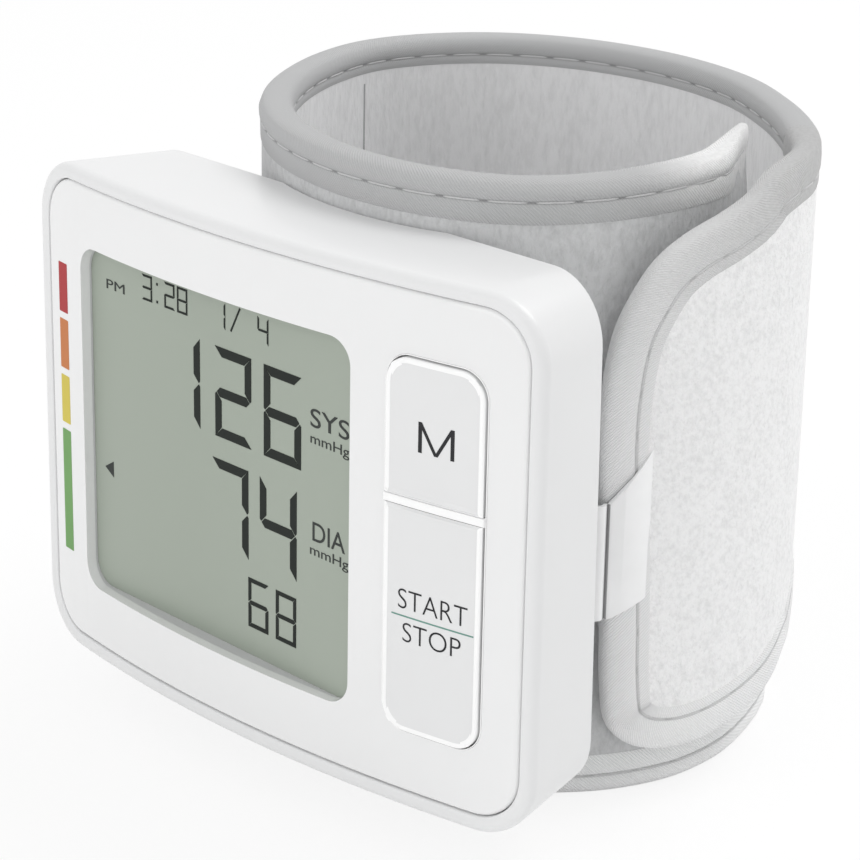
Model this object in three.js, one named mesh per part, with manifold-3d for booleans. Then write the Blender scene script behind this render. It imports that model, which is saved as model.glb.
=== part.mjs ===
// Wrist blood pressure monitor, in millimetres: a slim moulded case with a recessed display and
// two keys in its bowed front, and a wrap-round cloth cuff behind it. X runs to the right of
// someone reading the display, Y from the display into the cuff, and Z up along the cuff.

import * as THREE from 'three';
import { mergeVertices } from 'three/addons/utils/BufferGeometryUtils.js';
import Module from 'manifold-3d';

// Clearances and counts
const gap = 0.3;
const overrun = 5;
const weld = 1e-4;
const cornerSteps = 6;
const sideSteps = 12;
const frontSteps = 20;
const roundSteps = 8;
const cuffSteps = 56;
const flapSteps = 14;
const neckSteps = 8;
const outlineSteps = 2;

// Case
const caseWidth = 80;
const caseHeight = 60.4;
const caseDepth = 17.2;
const caseCorner = 8.4;
const caseWall = 1.67;
const caseEdge = 1.3;
const caseEdgeSteps = 3;
const sideDraft = 2.6;
const topDraft = 0.7;
const frontCrest = -8.6;
const frontFall = 6.4;
const frontBow = ((caseWidth / 2 - frontCrest) ** 2 / frontFall + frontFall) / 2;
const fasciaThickness = 1.2;
const deckThickness = 1.4;

// Keys
const keyWidth = 12.35;
const keyBankHeight = 42.4;
const keyCorner = 3;
const keySide = 6.525;
const keyX = caseWidth / 2 - keySide - keyWidth / 2;
const keyZ = 0.15;
const keySplit = 5.4;
const keyBar = 0.5;
const keyProud = 0.5;
const keyFlange = 0.8;
const keyFlangeMargin = 1.1;
const keyStem = 3;
const keyStemTip = 6.3;
const switchSize = 5.2;
const switchHeight = 1;
const switchBodyHeight = 0.7;

// Display, between the left side of the case and the keys
const windowSide = 9.2;
const windowToKeys = 5.025;
const windowWidth = caseWidth - windowSide - windowToKeys - keyWidth - keySide;
const windowHeight = 42.3;
const windowCorner = 3;
const windowX = windowSide + windowWidth / 2 - caseWidth / 2;
const windowZ = 0.15;
const displayFace = 2.8;
const displayThickness = 2.2;
const trayMargin = 0.4;
const trayThickness = 1.1;
const trayPost = 3;

// Circuit board and what it carries
const boardFace = 8.2;
const boardThickness = 1;
const boardSide = 5.6;
const boardEnd = 3.4;
const boardOverPump = 6.2;
const pumpEnd = 7.4;
const pumpZ = pumpEnd - caseHeight / 2;
const boardWidth = caseWidth - 2 * boardSide;
const boardTop = caseHeight / 2 - boardEnd;
const boardBottom = pumpZ + boardOverPump;
const boardCorner = 1.5;
const batteryWidth = 20;
const batteryHeight = 24;
const batteryThickness = 4.6;
const batterySide = 15;
const batteryX = batterySide - caseWidth / 2;
const batteryZ = -3;
const batteryCorner = 1.8;
const socketWidth = 7.4;
const socketHeight = 2.7;
const socketLength = 5.4;
const socketSide = 2.2;
const socketStart = socketSide - caseWidth / 2;
const socketDrop = 12.2;
const socketZ = boardTop - socketDrop;
const socketCorner = 0.8;
const socketShell = 0.5;
const sensorSize = 6.6;
const sensorHeight = 2.4;
const sensorPastNipple = 2;
const sensorRise = 4.6;
const sensorZ = boardBottom + sensorRise;
const sensorCorner = 0.6;

// Pump, valve and air ways
const pumpY = 11.1;
const motorDiameter = 9.6;
const motorFlats = 7.4;
const motorLengthShare = 0.17;
const motorLength = caseWidth * motorLengthShare;
const motorSide = 10.4;
const motorStart = motorSide - caseWidth / 2;
const crankSpace = 3.2;
const crankHub = 2;
const crankDisc = 5;
const crankDiscThickness = 1.4;
const crankPin = 1.4;
const crankThrow = 1.4;
const headLengthShare = 0.12;
const headLength = caseWidth * headLengthShare;
const headHeight = 9.4;
const headFront = 7.2;
const headBack = 12.5;
const headCorner = 1.4;
const manifoldFront = 9.5;
const manifoldThickness = 2.6;
const manifoldHeight = 4.2;
const branchDiameter = 2.4;
const nippleReach = 5.9;
const nippleDiameter = 2.8;
const valveLength = 11;
const valveHeight = 7.4;
const valveThickness = 5.2;
const valveSide = 22.7;
const valveStart = caseWidth / 2 - valveSide;
const valveCorner = 1;
const plungerDiameter = 2.2;
const plungerLength = 3.4;
const plungerProud = 0.9;
const plungerTravel = 0.6;

// Back cover and its screws
const coverThickness = 2;
const cradleThickness = 1.6;
const cradleDepth = 2.45;
const screwSide = 7.4;
const screwEnd = 7.2;
const screwX = caseWidth / 2 - screwSide;
const screwZ = caseHeight / 2 - screwEnd;
const bossDiameter = 5.4;
const screwDiameter = 2;
const screwHead = 3.8;
const screwHeadHeight = 1.3;
const screwLength = 8;

// Cuff
const cuffHalfWidth = 36.6;
const cuffHalfDepth = 31.5;
const cuffX = -4.35;
const cuffTop = 36;
const cuffBottom = -36.7;
const cuffThickness = 3.5;
const clothThickness = 0.75;
const formerThickness = 0.5;
const bladderThickness = 0.6;
const bindingHeight = 4;
const bindingExtra = 0.35;
const bindingRound = 1.3;
const bindingRoundSteps = 2;
const bladderMargin = 3;

// The cuff seen from above, from its inner end past the case, round the back and out to the tip
// of the flap, as shares of the half width and half depth of the ring.
const cuffPathShares = [
  [0.654, 0.413], [0.736, 0.190], [0.796, -0.063], [0.802, -0.317], [0.758, -0.571],
  [0.638, -0.800], [0.414, -0.950], [0.163, -1.000], [-0.072, -0.975], [-0.325, -0.880],
  [-0.590, -0.680], [-0.805, -0.390], [-0.950, -0.060], [-1.000, 0.222], [-0.947, 0.483],
  [-0.800, 0.735], [-0.540, 0.925], [-0.198, 1.000], [0.170, 0.935], [0.471, 0.760],
  [0.725, 0.540], [0.900, 0.330], [0.985, 0.140], [1.018, -0.063], [1.010, -0.286],
  [0.966, -0.492], [0.895, -0.673], [0.845, -0.760],
];
const hingeShare = 0.862;
const neckShare = 0.76;
const waistShare = 0.825;
const bladderFirstStep = 2;
const bladderLastStep = 41;

// Near its inner end the cuff leans outwards on its way down, and further on it is upright.
const leanReach = 3.8;
const leanRiseShare = 0.055;
const leanFallShare = 0.08;
const leanEndShare = 0.17;

// Flap, with its edge seen from the side as shares of its length from the tip and of the height
// of the cuff top.
const flapTip = 26.9;
const flapWaist = -20.5;
const flapRoot = -26.3;
const flapThickness = 2.5;
const flapEdgeWidth = 3.6;
const flapOutlineShares = [
  [1.300, 1.000], [1.000, 1.000], [0.860, 1.000], [0.700, 0.975], [0.600, 0.925],
  [0.480, 0.888], [0.300, 0.835], [0.180, 0.765], [0.095, 0.660], [0.042, 0.555],
  [0.012, 0.410], [0.000, 0.230], [0.010, 0.000], [0.022, -0.200], [0.032, -0.420],
  [0.040, -0.600], [0.068, -0.745], [0.150, -0.815], [0.270, -0.848], [0.430, -0.858],
  [0.630, -0.840], [0.820, -0.806], [0.935, -0.766], [1.000, -0.731], [1.100, -0.680],
  [1.300, -0.600],
];
const hookThickness = 1;
const hookLength = 14;
const hookHeight = 38;
const hookSetback = 6.5;
const tabThickness = 0.6;
const tabGap = 0.45;
const tabTop = 0.9;
const tabBottom = -12.7;
const tabReach = 4.6;
const tabRise = 4.6;

const wasm = await Module();
wasm.setup();
const { Manifold, Mesh: SolidMesh } = wasm;

const group = new THREE.Group();
group.name = 'wrist_blood_pressure_monitor';

// Solids

function solidOf(geometry) {
  const bare = geometry.clone();
  bare.deleteAttribute('normal');
  bare.deleteAttribute('uv');
  const welded = mergeVertices(bare, weld);
  return new Manifold(new SolidMesh({
    numProp: 3,
    vertProperties: new Float32Array(welded.attributes.position.array),
    triVerts: new Uint32Array(welded.index.array),
  }));
}

function geometryOf(solid) {
  const mesh = solid.getMesh();
  const geometry = new THREE.BufferGeometry();
  geometry.setAttribute('position', new THREE.BufferAttribute(mesh.vertProperties, 3));
  geometry.setIndex(new THREE.BufferAttribute(mesh.triVerts, 1));
  geometry.computeVertexNormals();
  return geometry;
}

function add(name, solid, colour, roughness = 0.5, metalness = 0) {
  const material = new THREE.MeshStandardMaterial({ color: colour, roughness, metalness });
  const mesh = new THREE.Mesh(geometryOf(solid), material);
  mesh.name = name;
  group.add(mesh);
}

function joined(solids) {
  return solids.reduce((whole, solid) => whole.add(solid));
}

const along = {
  x: new THREE.Vector3(1, 0, 0),
  y: new THREE.Vector3(0, 1, 0),
  z: new THREE.Vector3(0, 0, 1),
  minusY: new THREE.Vector3(0, -1, 0),
};

function prism(shape, depth) {
  return new THREE.ExtrudeGeometry(shape, { depth, bevelEnabled: false, curveSegments: roundSteps });
}

// A prism standing on a plan outline, drawn in x and y.
function upright(shape, bottom, top) {
  const geometry = prism(shape, top - bottom);
  geometry.translate(0, 0, bottom);
  return solidOf(geometry);
}

// A prism behind an outline seen from the front, drawn in x and z.
function facing(shape, front, back) {
  const geometry = prism(shape, back - front);
  geometry.applyMatrix4(new THREE.Matrix4().makeBasis(along.x, along.z, along.minusY));
  geometry.translate(0, back, 0);
  return solidOf(geometry);
}

// A prism across the part on an outline seen from the side, drawn in y and z.
function sideways(shape, left, right) {
  const geometry = prism(shape, right - left);
  geometry.applyMatrix4(new THREE.Matrix4().makeBasis(along.y, along.z, along.x));
  geometry.translate(left, 0, 0);
  return solidOf(geometry);
}

function roundedPoints(width, height, radius, x = 0, z = 0, pieces = 1, turns = cornerSteps) {
  const corners = [[1, -1, -1], [1, 1, 0], [-1, 1, 1], [-1, -1, 2]];
  const points = [];
  for (const [sideX, sideZ, quarters] of corners) {
    const middle = new THREE.Vector2(
      x + sideX * (width / 2 - radius),
      z + sideZ * (height / 2 - radius),
    );
    for (let step = 0; step <= turns; step += 1) {
      const turn = Math.PI / 2 * (quarters + step / turns);
      points.push(new THREE.Vector2(Math.cos(turn), Math.sin(turn)).multiplyScalar(radius).add(middle));
    }
  }
  const subdivided = [];
  points.forEach((point, index) => {
    const next = points[(index + 1) % points.length];
    const straight = (index + 1) % (turns + 1) === 0;
    subdivided.push(point);
    const level = Math.abs(next.x - point.x) > Math.abs(next.y - point.y);
    for (let piece = 1; straight && level && piece < pieces; piece += 1) {
      subdivided.push(point.clone().lerp(next, piece / pieces));
    }
  });
  return subdivided;
}

function rounded(width, height, radius, x, z, pieces) {
  return new THREE.Shape(roundedPoints(width, height, radius, x, z, pieces));
}

function disc(diameter, x = 0, z = 0) {
  const shape = new THREE.Shape();
  shape.absarc(x, z, diameter / 2, 0, 2 * Math.PI);
  return shape;
}

function rectangle(left, bottom, right, top) {
  return new THREE.Shape([
    new THREE.Vector2(left, bottom),
    new THREE.Vector2(right, bottom),
    new THREE.Vector2(right, top),
    new THREE.Vector2(left, top),
  ]);
}

// Cuff route

const halfCuff = cuffThickness / 2;
const formerOuter = halfCuff - clothThickness - gap;
const bladderOuter = formerOuter - formerThickness - gap;
const cuffY = caseDepth - cradleDepth + gap + halfCuff + cuffHalfDepth;

const cuffPath = new THREE.CatmullRomCurve3(cuffPathShares.map(([x, y]) => (
  new THREE.Vector3(cuffX + x * cuffHalfWidth, cuffY + y * cuffHalfDepth, 0)
)), false, 'centripetal');

// The plan outline of a strip along the cuff, between two shares of its length and two distances
// from its middle line, outwards positive.
function stripShape(from, to, inner, outer, steps) {
  const side = (offset) => Array.from({ length: steps + 1 }, (_, step) => {
    const share = from + (to - from) * step / steps;
    const place = cuffPath.getPointAt(share);
    const forward = cuffPath.getTangentAt(share);
    return new THREE.Vector2(place.x - forward.y * offset, place.y + forward.x * offset);
  });
  return new THREE.Shape([...side(outer), ...side(inner).reverse()]);
}

function strip(from, to, inner, outer, bottom, top, steps = cuffSteps) {
  return upright(stripShape(from, to, inner, outer, steps), bottom, top);
}

function leanAt(share) {
  const rise = THREE.MathUtils.smoothstep(share, 0, leanRiseShare);
  return leanReach * rise * (1 - THREE.MathUtils.smoothstep(share, leanFallShare, leanEndShare));
}

// A band along the cuff that keeps a profile, drawn with the distance outwards as x and the height
// as y, and that leans with the inner end.
function band(from, to, profile, steps) {
  const count = profile.length;
  const positions = [];
  const triangles = [];
  for (let step = 0; step <= steps; step += 1) {
    const share = from + (to - from) * step / steps;
    const place = cuffPath.getPointAt(share);
    const forward = cuffPath.getTangentAt(share);
    const lean = leanAt(share) / (cuffTop - cuffBottom);
    for (const point of profile) {
      const offset = point.x + lean * (cuffTop - point.y);
      positions.push(place.x - forward.y * offset, place.y + forward.x * offset, point.y);
    }
  }
  for (let step = 0; step < steps; step += 1) {
    for (let spot = 0; spot < count; spot += 1) {
      const near = step * count + spot;
      const beside = step * count + (spot + 1) % count;
      triangles.push(near, beside, near + count, beside, beside + count, near + count);
    }
  }
  const last = steps * count;
  for (const [a, b, c] of THREE.ShapeUtils.triangulateShape(profile, [])) {
    triangles.push(a, c, b, last + a, last + b, last + c);
  }
  const geometry = new THREE.BufferGeometry();
  geometry.setAttribute('position', new THREE.Float32BufferAttribute(positions, 3));
  geometry.setIndex(triangles);
  return solidOf(geometry);
}

// The space that the cuff takes where it lies in the back of the case.
function cradleSpace() {
  return strip(0, neckShare, -cuffThickness, halfCuff + gap, -caseHeight, caseHeight);
}

// Case front

function frontAt(x) {
  return frontBow - Math.sqrt(frontBow ** 2 - (x - frontCrest) ** 2);
}

// A layer of even thickness that follows the bowed front, between two depths behind it.
function frontLayer(near, far) {
  const reach = caseWidth / 2 + overrun;
  const first = Math.asin((-reach - frontCrest) / frontBow);
  const last = Math.asin((reach - frontCrest) / frontBow);
  const arc = (depth) => Array.from({ length: frontSteps + 1 }, (_, step) => {
    const turn = first + (last - first) * step / frontSteps;
    const radius = frontBow - depth;
    return new THREE.Vector2(frontCrest + radius * Math.sin(turn), frontBow - radius * Math.cos(turn));
  });
  const outline = [...arc(near), ...arc(far).reverse()];
  return upright(new THREE.Shape(outline), -caseHeight, caseHeight);
}

// A solid from in front of the bow to the flat back of the case, leaning in on the way. Each point
// of the straight prism moves along the normal of the case outline, by the inset and by the
// rounding of the front edge.
function casing(inset, edge) {
  const shape = rounded(caseWidth, caseHeight, caseCorner, 0, 0, sideSteps);
  const rounding = Array.from({ length: caseEdgeSteps + 1 }, (_, step) => (
    edge * (1 - Math.cos(Math.PI / 2 * step / caseEdgeSteps))
  ));
  const depths = [-overrun, ...(edge > 0 ? rounding : [caseEdge]), caseDepth / 2, caseDepth];
  const steps = depths.length - 1;
  const geometry = new THREE.ExtrudeGeometry(shape, { depth: steps, steps, bevelEnabled: false });
  geometry.applyMatrix4(new THREE.Matrix4().makeBasis(along.x, along.z, along.minusY));
  const position = geometry.attributes.position;
  const core = new THREE.Vector2(caseWidth / 2 - caseCorner, caseHeight / 2 - caseCorner);
  for (let index = 0; index < position.count; index += 1) {
    const point = new THREE.Vector2(position.getX(index), position.getZ(index));
    const root = point.clone().clamp(core.clone().negate(), core);
    const depth = depths[steps + Math.round(position.getY(index))];
    const left = Math.max(0, edge - Math.max(0, depth));
    const drawn = inset + edge - Math.sqrt(edge ** 2 - left ** 2);
    point.sub(root).setLength(caseCorner - drawn).add(root);
    const lean = Math.max(0, depth - caseEdge) / (caseDepth - caseEdge);
    const x = point.x * (1 - lean * sideDraft / (caseWidth / 2));
    const z = point.y * (1 - lean * topDraft / (caseHeight / 2));
    position.setXYZ(index, x, depth + frontAt(x) * (1 - Math.max(0, depth) / caseDepth), z);
  }
  return solidOf(geometry);
}

const ledge = fasciaThickness + gap;

function windowShape(grown = 0) {
  const width = windowWidth + 2 * grown;
  const height = windowHeight + 2 * grown;
  return rounded(width, height, windowCorner + grown, windowX, windowZ);
}

function keyBankShape(grown = 0) {
  return rounded(keyWidth + 2 * grown, keyBankHeight + 2 * grown, keyCorner + grown, keyX, keyZ);
}

function screwPlaces() {
  return [[-1, 1], [1, 1], [-1, -1], [1, -1]].map(([x, z]) => [x * screwX, z * screwZ]);
}

const coverFront = caseDepth - coverThickness;

function frontShell() {
  const plate = rounded(caseWidth - caseWall, caseHeight - caseWall, caseCorner - caseWall / 2);
  const deck = frontLayer(ledge, ledge + deckThickness).intersect(facing(plate, 0, caseDepth));
  const wall = casing(0, caseEdge).subtract(casing(caseWall, 0));
  let shell = wall.intersect(frontLayer(0, caseDepth + overrun)).add(deck);
  for (const [x, z] of screwPlaces()) {
    const start = frontAt(x) + ledge + deckThickness / 2;
    shell = shell.add(facing(disc(bossDiameter, x, z), start, coverFront - gap));
    const bore = disc(screwDiameter + 2 * gap, x, z);
    shell = shell.subtract(facing(bore, caseDepth - screwLength - gap, caseDepth));
  }
  shell = shell.subtract(facing(windowShape(gap), 0, caseDepth / 2));
  shell = shell.subtract(facing(keyBankShape(keyFlangeMargin + gap), 0, caseDepth / 2));
  const port = rounded(socketHeight + 2 * gap, socketWidth + 2 * gap, socketCorner + gap, socketY, socketZ);
  shell = shell.subtract(sideways(port, -caseWidth / 2 - overrun, socketStart + socketLength));
  return shell.subtract(cradleSpace());
}

const boardBack = boardFace + boardThickness;
const socketY = boardBack + gap + socketHeight / 2;

function fascia() {
  const inset = caseWall + gap;
  const plate = rounded(caseWidth - 2 * inset, caseHeight - 2 * inset, caseCorner - inset);
  let front = frontLayer(0, fasciaThickness).intersect(facing(plate, -overrun, caseDepth));
  front = front.subtract(facing(windowShape(), -overrun, caseDepth));
  const opening = facing(keyBankShape(gap), -overrun, caseDepth);
  const bar = rectangle(0, keySplit - keyBar / 2, caseWidth / 2, keySplit + keyBar / 2);
  return front.subtract(opening.subtract(facing(bar, -2 * overrun, 2 * caseDepth)));
}

// A key cap that follows the bow, with a flange behind the fascia and a stem over its switch.
function key(bottom, top) {
  const band = facing(rectangle(0, bottom, caseWidth / 2, top), -overrun, caseDepth);
  const capBack = fasciaThickness + gap + keyFlange;
  const cap = frontLayer(-keyProud, capBack).intersect(facing(keyBankShape(), -overrun, caseDepth));
  const rim = frontLayer(fasciaThickness + gap, capBack);
  const flange = rim.intersect(facing(keyBankShape(keyFlangeMargin), -overrun, caseDepth));
  const middle = (bottom + top) / 2;
  const stem = facing(disc(keyStem, keyX, middle), frontAt(keyX) + capBack - keyFlange / 2, keyStemTip);
  return cap.add(flange).intersect(band).add(stem);
}

const keyBankTop = keyZ + keyBankHeight / 2;
const keyBankBottom = keyZ - keyBankHeight / 2;
const memoryMiddle = (keySplit + keyBankTop) / 2;
const startMiddle = (keySplit + keyBankBottom) / 2;
const keyEnd = keyFlangeMargin;

const white = 0xf2f3f3;
add('front_shell', frontShell(), white, 0.25);
add('fascia', fascia(), white, 0.2);
add('memory_button', key(keySplit + keyBar / 2 + gap, keyBankTop + keyEnd), white, 0.2);
add('start_stop_button', key(keyBankBottom - keyEnd, keySplit - keyBar / 2 - gap), white, 0.2);

// Display and its tray

function displayTray() {
  const front = displayFace + displayThickness + gap;
  let tray = facing(windowShape(trayMargin), front, front + trayThickness);
  for (const [sideX, sideZ] of [[-1, 1], [1, 1], [-1, -1], [1, -1]]) {
    const x = windowX + sideX * (windowWidth / 2 - trayPost);
    const z = Math.max(windowZ + sideZ * (windowHeight / 2 - trayPost), boardBottom + trayPost);
    tray = tray.add(facing(disc(trayPost, x, z), front + trayThickness / 2, boardFace - gap));
  }
  return tray;
}

add('display_panel', facing(windowShape(-gap), displayFace, displayFace + displayThickness), 0xa3aa9c, 0.3);
add('display_tray', displayTray(), white, 0.5);

// Circuit board, switches, battery, socket and sensor

function circuitBoard() {
  const height = boardTop - boardBottom;
  const outline = rounded(boardWidth, height, boardCorner, 0, (boardTop + boardBottom) / 2);
  let board = facing(outline, boardFace, boardBack);
  for (const [x, z] of screwPlaces()) {
    board = board.subtract(facing(disc(bossDiameter + 2 * gap, x, z), 0, caseDepth));
  }
  return board;
}

function tactSwitch(z) {
  const back = boardFace - gap;
  const body = rounded(switchSize, switchSize, boardCorner / 2, keyX, z);
  const plunger = facing(disc(keyStem, keyX, z), back - switchHeight, back);
  return facing(body, back - switchBodyHeight, back).add(plunger);
}

function chargingSocket() {
  const body = rounded(socketHeight, socketWidth, socketCorner, socketY, socketZ);
  const mouth = rounded(
    socketHeight - 2 * socketShell, socketWidth - 2 * socketShell, socketCorner - socketShell / 2,
    socketY, socketZ,
  );
  const end = socketStart + socketLength;
  const mouthEnd = end - 2 * socketShell;
  return sideways(body, socketStart, end).subtract(sideways(mouth, socketStart - overrun, mouthEnd));
}

const boardRear = boardBack + gap;
add('circuit_board', circuitBoard(), 0x2f6b45, 0.5);
add('memory_switch', tactSwitch(memoryMiddle), 0x2a2a2c, 0.5);
add('start_stop_switch', tactSwitch(startMiddle), 0x2a2a2c, 0.5);
const batteryShape = rounded(batteryWidth, batteryHeight, batteryCorner, batteryX, batteryZ);
add('battery_cell', facing(batteryShape, boardRear, boardRear + batteryThickness), 0x9aa3ab, 0.4, 0.3);
add('charging_socket', chargingSocket(), 0xb8bcc0, 0.3, 1);
const crankStart = motorStart + motorLength;
const headStart = crankStart + crankSpace;
const manifoldStart = headStart + headLength + gap;
const nippleX = manifoldStart + nippleReach;
const sensorX = nippleX + sensorPastNipple;
const sensorShape = rounded(sensorSize, sensorSize, sensorCorner, sensorX, sensorZ);
add('pressure_sensor', facing(sensorShape, boardRear, boardRear + sensorHeight), 0x26282a, 0.5);

// Pump, valve and the moulded air way between them

function pumpMotor() {
  const can = sideways(disc(motorDiameter, pumpY, pumpZ), motorStart, crankStart);
  const flats = rectangle(
    pumpY - motorFlats / 2, pumpZ - motorDiameter, pumpY + motorFlats / 2, pumpZ + motorDiameter,
  );
  return can.intersect(sideways(flats, motorStart - overrun, crankStart + overrun));
}

function pumpCrank() {
  const hubEnd = crankStart + gap + (crankSpace - crankDiscThickness) / 2;
  const hub = sideways(disc(crankHub, pumpY, pumpZ), crankStart + gap, hubEnd);
  const wheelStart = hubEnd - gap / 2;
  const wheel = sideways(disc(crankDisc, pumpY, pumpZ), wheelStart, wheelStart + crankDiscThickness);
  const pin = disc(crankPin, pumpY, pumpZ - crankThrow);
  return joined([hub, wheel, sideways(pin, wheelStart, headStart - gap)]);
}

function pumpHead() {
  const middle = (headFront + headBack) / 2;
  const outline = rounded(headBack - headFront, headHeight, headCorner, middle, pumpZ);
  return sideways(outline, headStart, headStart + headLength);
}

// The air way runs from the pump head to the valve, with a branch up to the sensor and a nipple
// back through the cover to the bladder.
function airManifold() {
  const middle = manifoldFront + manifoldThickness / 2;
  const bar = rounded(manifoldThickness, manifoldHeight, manifoldThickness / 3, middle, pumpZ);
  const rail = sideways(bar, manifoldStart, valveStart - gap);
  const branch = disc(branchDiameter, sensorX, middle);
  const branchTop = sensorZ - sensorSize / 2 - gap;
  const riser = upright(branch, pumpZ, branchTop);
  const nippleEnd = cuffY - cuffHalfDepth - bladderOuter - gap;
  const nipple = facing(disc(nippleDiameter, nippleX, pumpZ), middle, nippleEnd);
  return joined([rail, riser, nipple]);
}

const valveY = manifoldFront + valveThickness / 2;

function releaseValve() {
  const outline = rounded(valveThickness, valveHeight, valveCorner, valveY, pumpZ);
  const body = sideways(outline, valveStart, valveStart + valveLength);
  const bore = disc(plungerDiameter + 2 * gap, valveY, pumpZ);
  const boreStart = valveStart + valveLength + plungerProud - plungerLength - plungerTravel - gap;
  return body.subtract(sideways(bore, boreStart, caseWidth));
}

function valvePlunger() {
  const end = valveStart + valveLength + plungerProud;
  return sideways(disc(plungerDiameter, valveY, pumpZ), end - plungerLength, end);
}

add('pump_motor', pumpMotor(), 0xb4b8bc, 0.35, 0.9);
add('pump_crank', pumpCrank(), 0xe6e2d4, 0.5);
add('pump_head', pumpHead(), 0x2b2d30, 0.5);
add('air_manifold', airManifold(), 0xd9dadb, 0.5);
add('release_valve', releaseValve(), 0x3a3d42, 0.45);
add('valve_plunger', valvePlunger(), 0xc4c7ca, 0.3, 0.9);

// Back cover

const coverNarrowing = 1 - sideDraft / (caseWidth / 2);
const coverShortening = 1 - topDraft / (caseHeight / 2);
const coverWidth = (caseWidth - 2 * caseWall) * coverNarrowing - 2 * gap;
const coverHeight = (caseHeight - 2 * caseWall) * coverShortening - 2 * gap;
const coverCorner = (caseCorner - caseWall) * coverNarrowing - gap;

function backCover() {
  const outline = facing(rounded(coverWidth, coverHeight, coverCorner), 0, caseDepth);
  const behind = upright(rectangle(-caseWidth, coverFront, caseWidth, caseDepth), -caseHeight, caseHeight);
  const near = halfCuff + gap;
  const cradle = strip(0, neckShare, near, near + cradleThickness, -caseHeight, caseHeight);
  let cover = outline.intersect(behind.add(cradle)).subtract(cradleSpace());
  for (const [x, z] of screwPlaces()) {
    const hole = facing(disc(screwDiameter + 2 * gap, x, z), 0, caseDepth + overrun);
    const seat = caseDepth - screwHeadHeight - gap;
    const recess = facing(disc(screwHead + 2 * gap, x, z), seat, caseDepth + overrun);
    cover = cover.subtract(hole).subtract(recess);
  }
  return cover.subtract(facing(disc(nippleDiameter + 2 * gap, nippleX, pumpZ), 0, caseDepth));
}

function screw(x, z) {
  const shank = facing(disc(screwDiameter, x, z), caseDepth - screwLength, caseDepth);
  const head = facing(disc(screwHead, x, z), caseDepth - screwHeadHeight, caseDepth - gap);
  return shank.intersect(facing(disc(screwHead, x, z), 0, caseDepth - gap)).add(head);
}

add('back_cover', backCover(), white, 0.3);
screwPlaces().forEach(([x, z], index) => {
  add(`cover_screw_${index + 1}`, screw(x, z), 0xb9bcbf, 0.3, 1);
});

// Cuff layers, from the outside in: cloth, a springy former, the bladder and a soft lining

const layerTop = cuffTop - bindingHeight - gap;
const layerBottom = cuffBottom + bindingHeight + gap;
const bindingReach = halfCuff + bindingExtra;

// What lies above the lower edge of the cuff where it narrows to a waist and widens to the flap.
function aboveNeck(raised) {
  const left = cuffPath.getPointAt(neckShare).x;
  const waist = cuffPath.getPointAt(waistShare).x;
  const right = cuffPath.getPointAt(hingeShare).x;
  const points = [new THREE.Vector2(left - caseWidth, cuffBottom + raised)];
  for (const [start, end, low, high] of [
    [left, waist, cuffBottom, flapWaist], [waist, right, flapWaist, flapRoot],
  ]) {
    for (let step = 0; step < neckSteps; step += 1) {
      const share = step / neckSteps;
      const rise = (1 - Math.cos(Math.PI * share)) / 2;
      points.push(new THREE.Vector2(start + (end - start) * share, low + (high - low) * rise + raised));
    }
  }
  points.push(new THREE.Vector2(right, flapRoot + raised));
  points.push(new THREE.Vector2(right + caseWidth, flapRoot + raised));
  points.push(new THREE.Vector2(right + caseWidth, caseHeight));
  points.push(new THREE.Vector2(left - caseWidth, caseHeight));
  return facing(new THREE.Shape(points), 0, cuffY + 2 * cuffHalfDepth);
}

// The profile of a flat layer, with a point half way up so that leaning layers stay apart.
function layerProfile(inner, outer, bottom, top) {
  const middle = (bottom + top) / 2;
  return [
    new THREE.Vector2(inner, bottom),
    new THREE.Vector2(outer, bottom),
    new THREE.Vector2(outer, middle),
    new THREE.Vector2(outer, top),
    new THREE.Vector2(inner, top),
    new THREE.Vector2(inner, middle),
  ];
}

// A layer of the cuff over its whole fixed length, cut to the lower edge of the neck.
function cuffLayer(inner, outer) {
  const body = band(0, neckShare, layerProfile(inner, outer, layerBottom, layerTop), cuffSteps);
  const neck = strip(neckShare, hingeShare, inner, outer, cuffBottom, layerTop, flapSteps);
  return body.add(neck.intersect(aboveNeck(bindingHeight + gap)));
}

// The profile of an edge tape, rounded along both of its long edges.
function tapeProfile(bottom) {
  const middle = bottom + bindingHeight / 2;
  return roundedPoints(2 * bindingReach, bindingHeight, bindingRound, 0, middle, 1, bindingRoundSteps);
}

function lowerBinding() {
  const body = band(0, neckShare, tapeProfile(cuffBottom), cuffSteps);
  const neck = strip(neckShare, hingeShare, -bindingReach, bindingReach, cuffBottom, layerTop, flapSteps);
  return body.add(neck.intersect(aboveNeck(0)).subtract(aboveNeck(bindingHeight)));
}

const nippleHole = facing(disc(nippleDiameter + 2 * gap, nippleX, pumpZ), 0, cuffY);
const formerTop = layerTop - bladderMargin;
const formerBottom = layerBottom + bladderMargin;
const cloth = 0xd3d5d7;
add('cuff_cloth', cuffLayer(halfCuff - clothThickness, halfCuff).subtract(nippleHole), cloth, 0.95);
const formerStartShare = neckShare * bladderFirstStep / cuffSteps;
const formerEndShare = neckShare * bladderLastStep / cuffSteps;
const formerSteps = bladderLastStep - bladderFirstStep;
const former = band(formerStartShare, formerEndShare, layerProfile(
  formerOuter - formerThickness, formerOuter, formerBottom, formerTop,
), formerSteps);
add('cuff_former', former.subtract(nippleHole), 0xe9ebec, 0.5);
const bladder = band(formerStartShare, formerEndShare, layerProfile(
  bladderOuter - bladderThickness, bladderOuter, formerBottom, formerTop,
), formerSteps);
add('air_bladder', bladder, 0xc9cdd2, 0.6);
add('cuff_lining', cuffLayer(-halfCuff, clothThickness - halfCuff), 0xc3c6c9, 0.95);
add('top_binding', band(0, hingeShare, tapeProfile(cuffTop - bindingHeight), cuffSteps), 0xbfc2c5, 0.9);
add('lower_binding', lowerBinding(), 0xbfc2c5, 0.9);

// Flap

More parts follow.
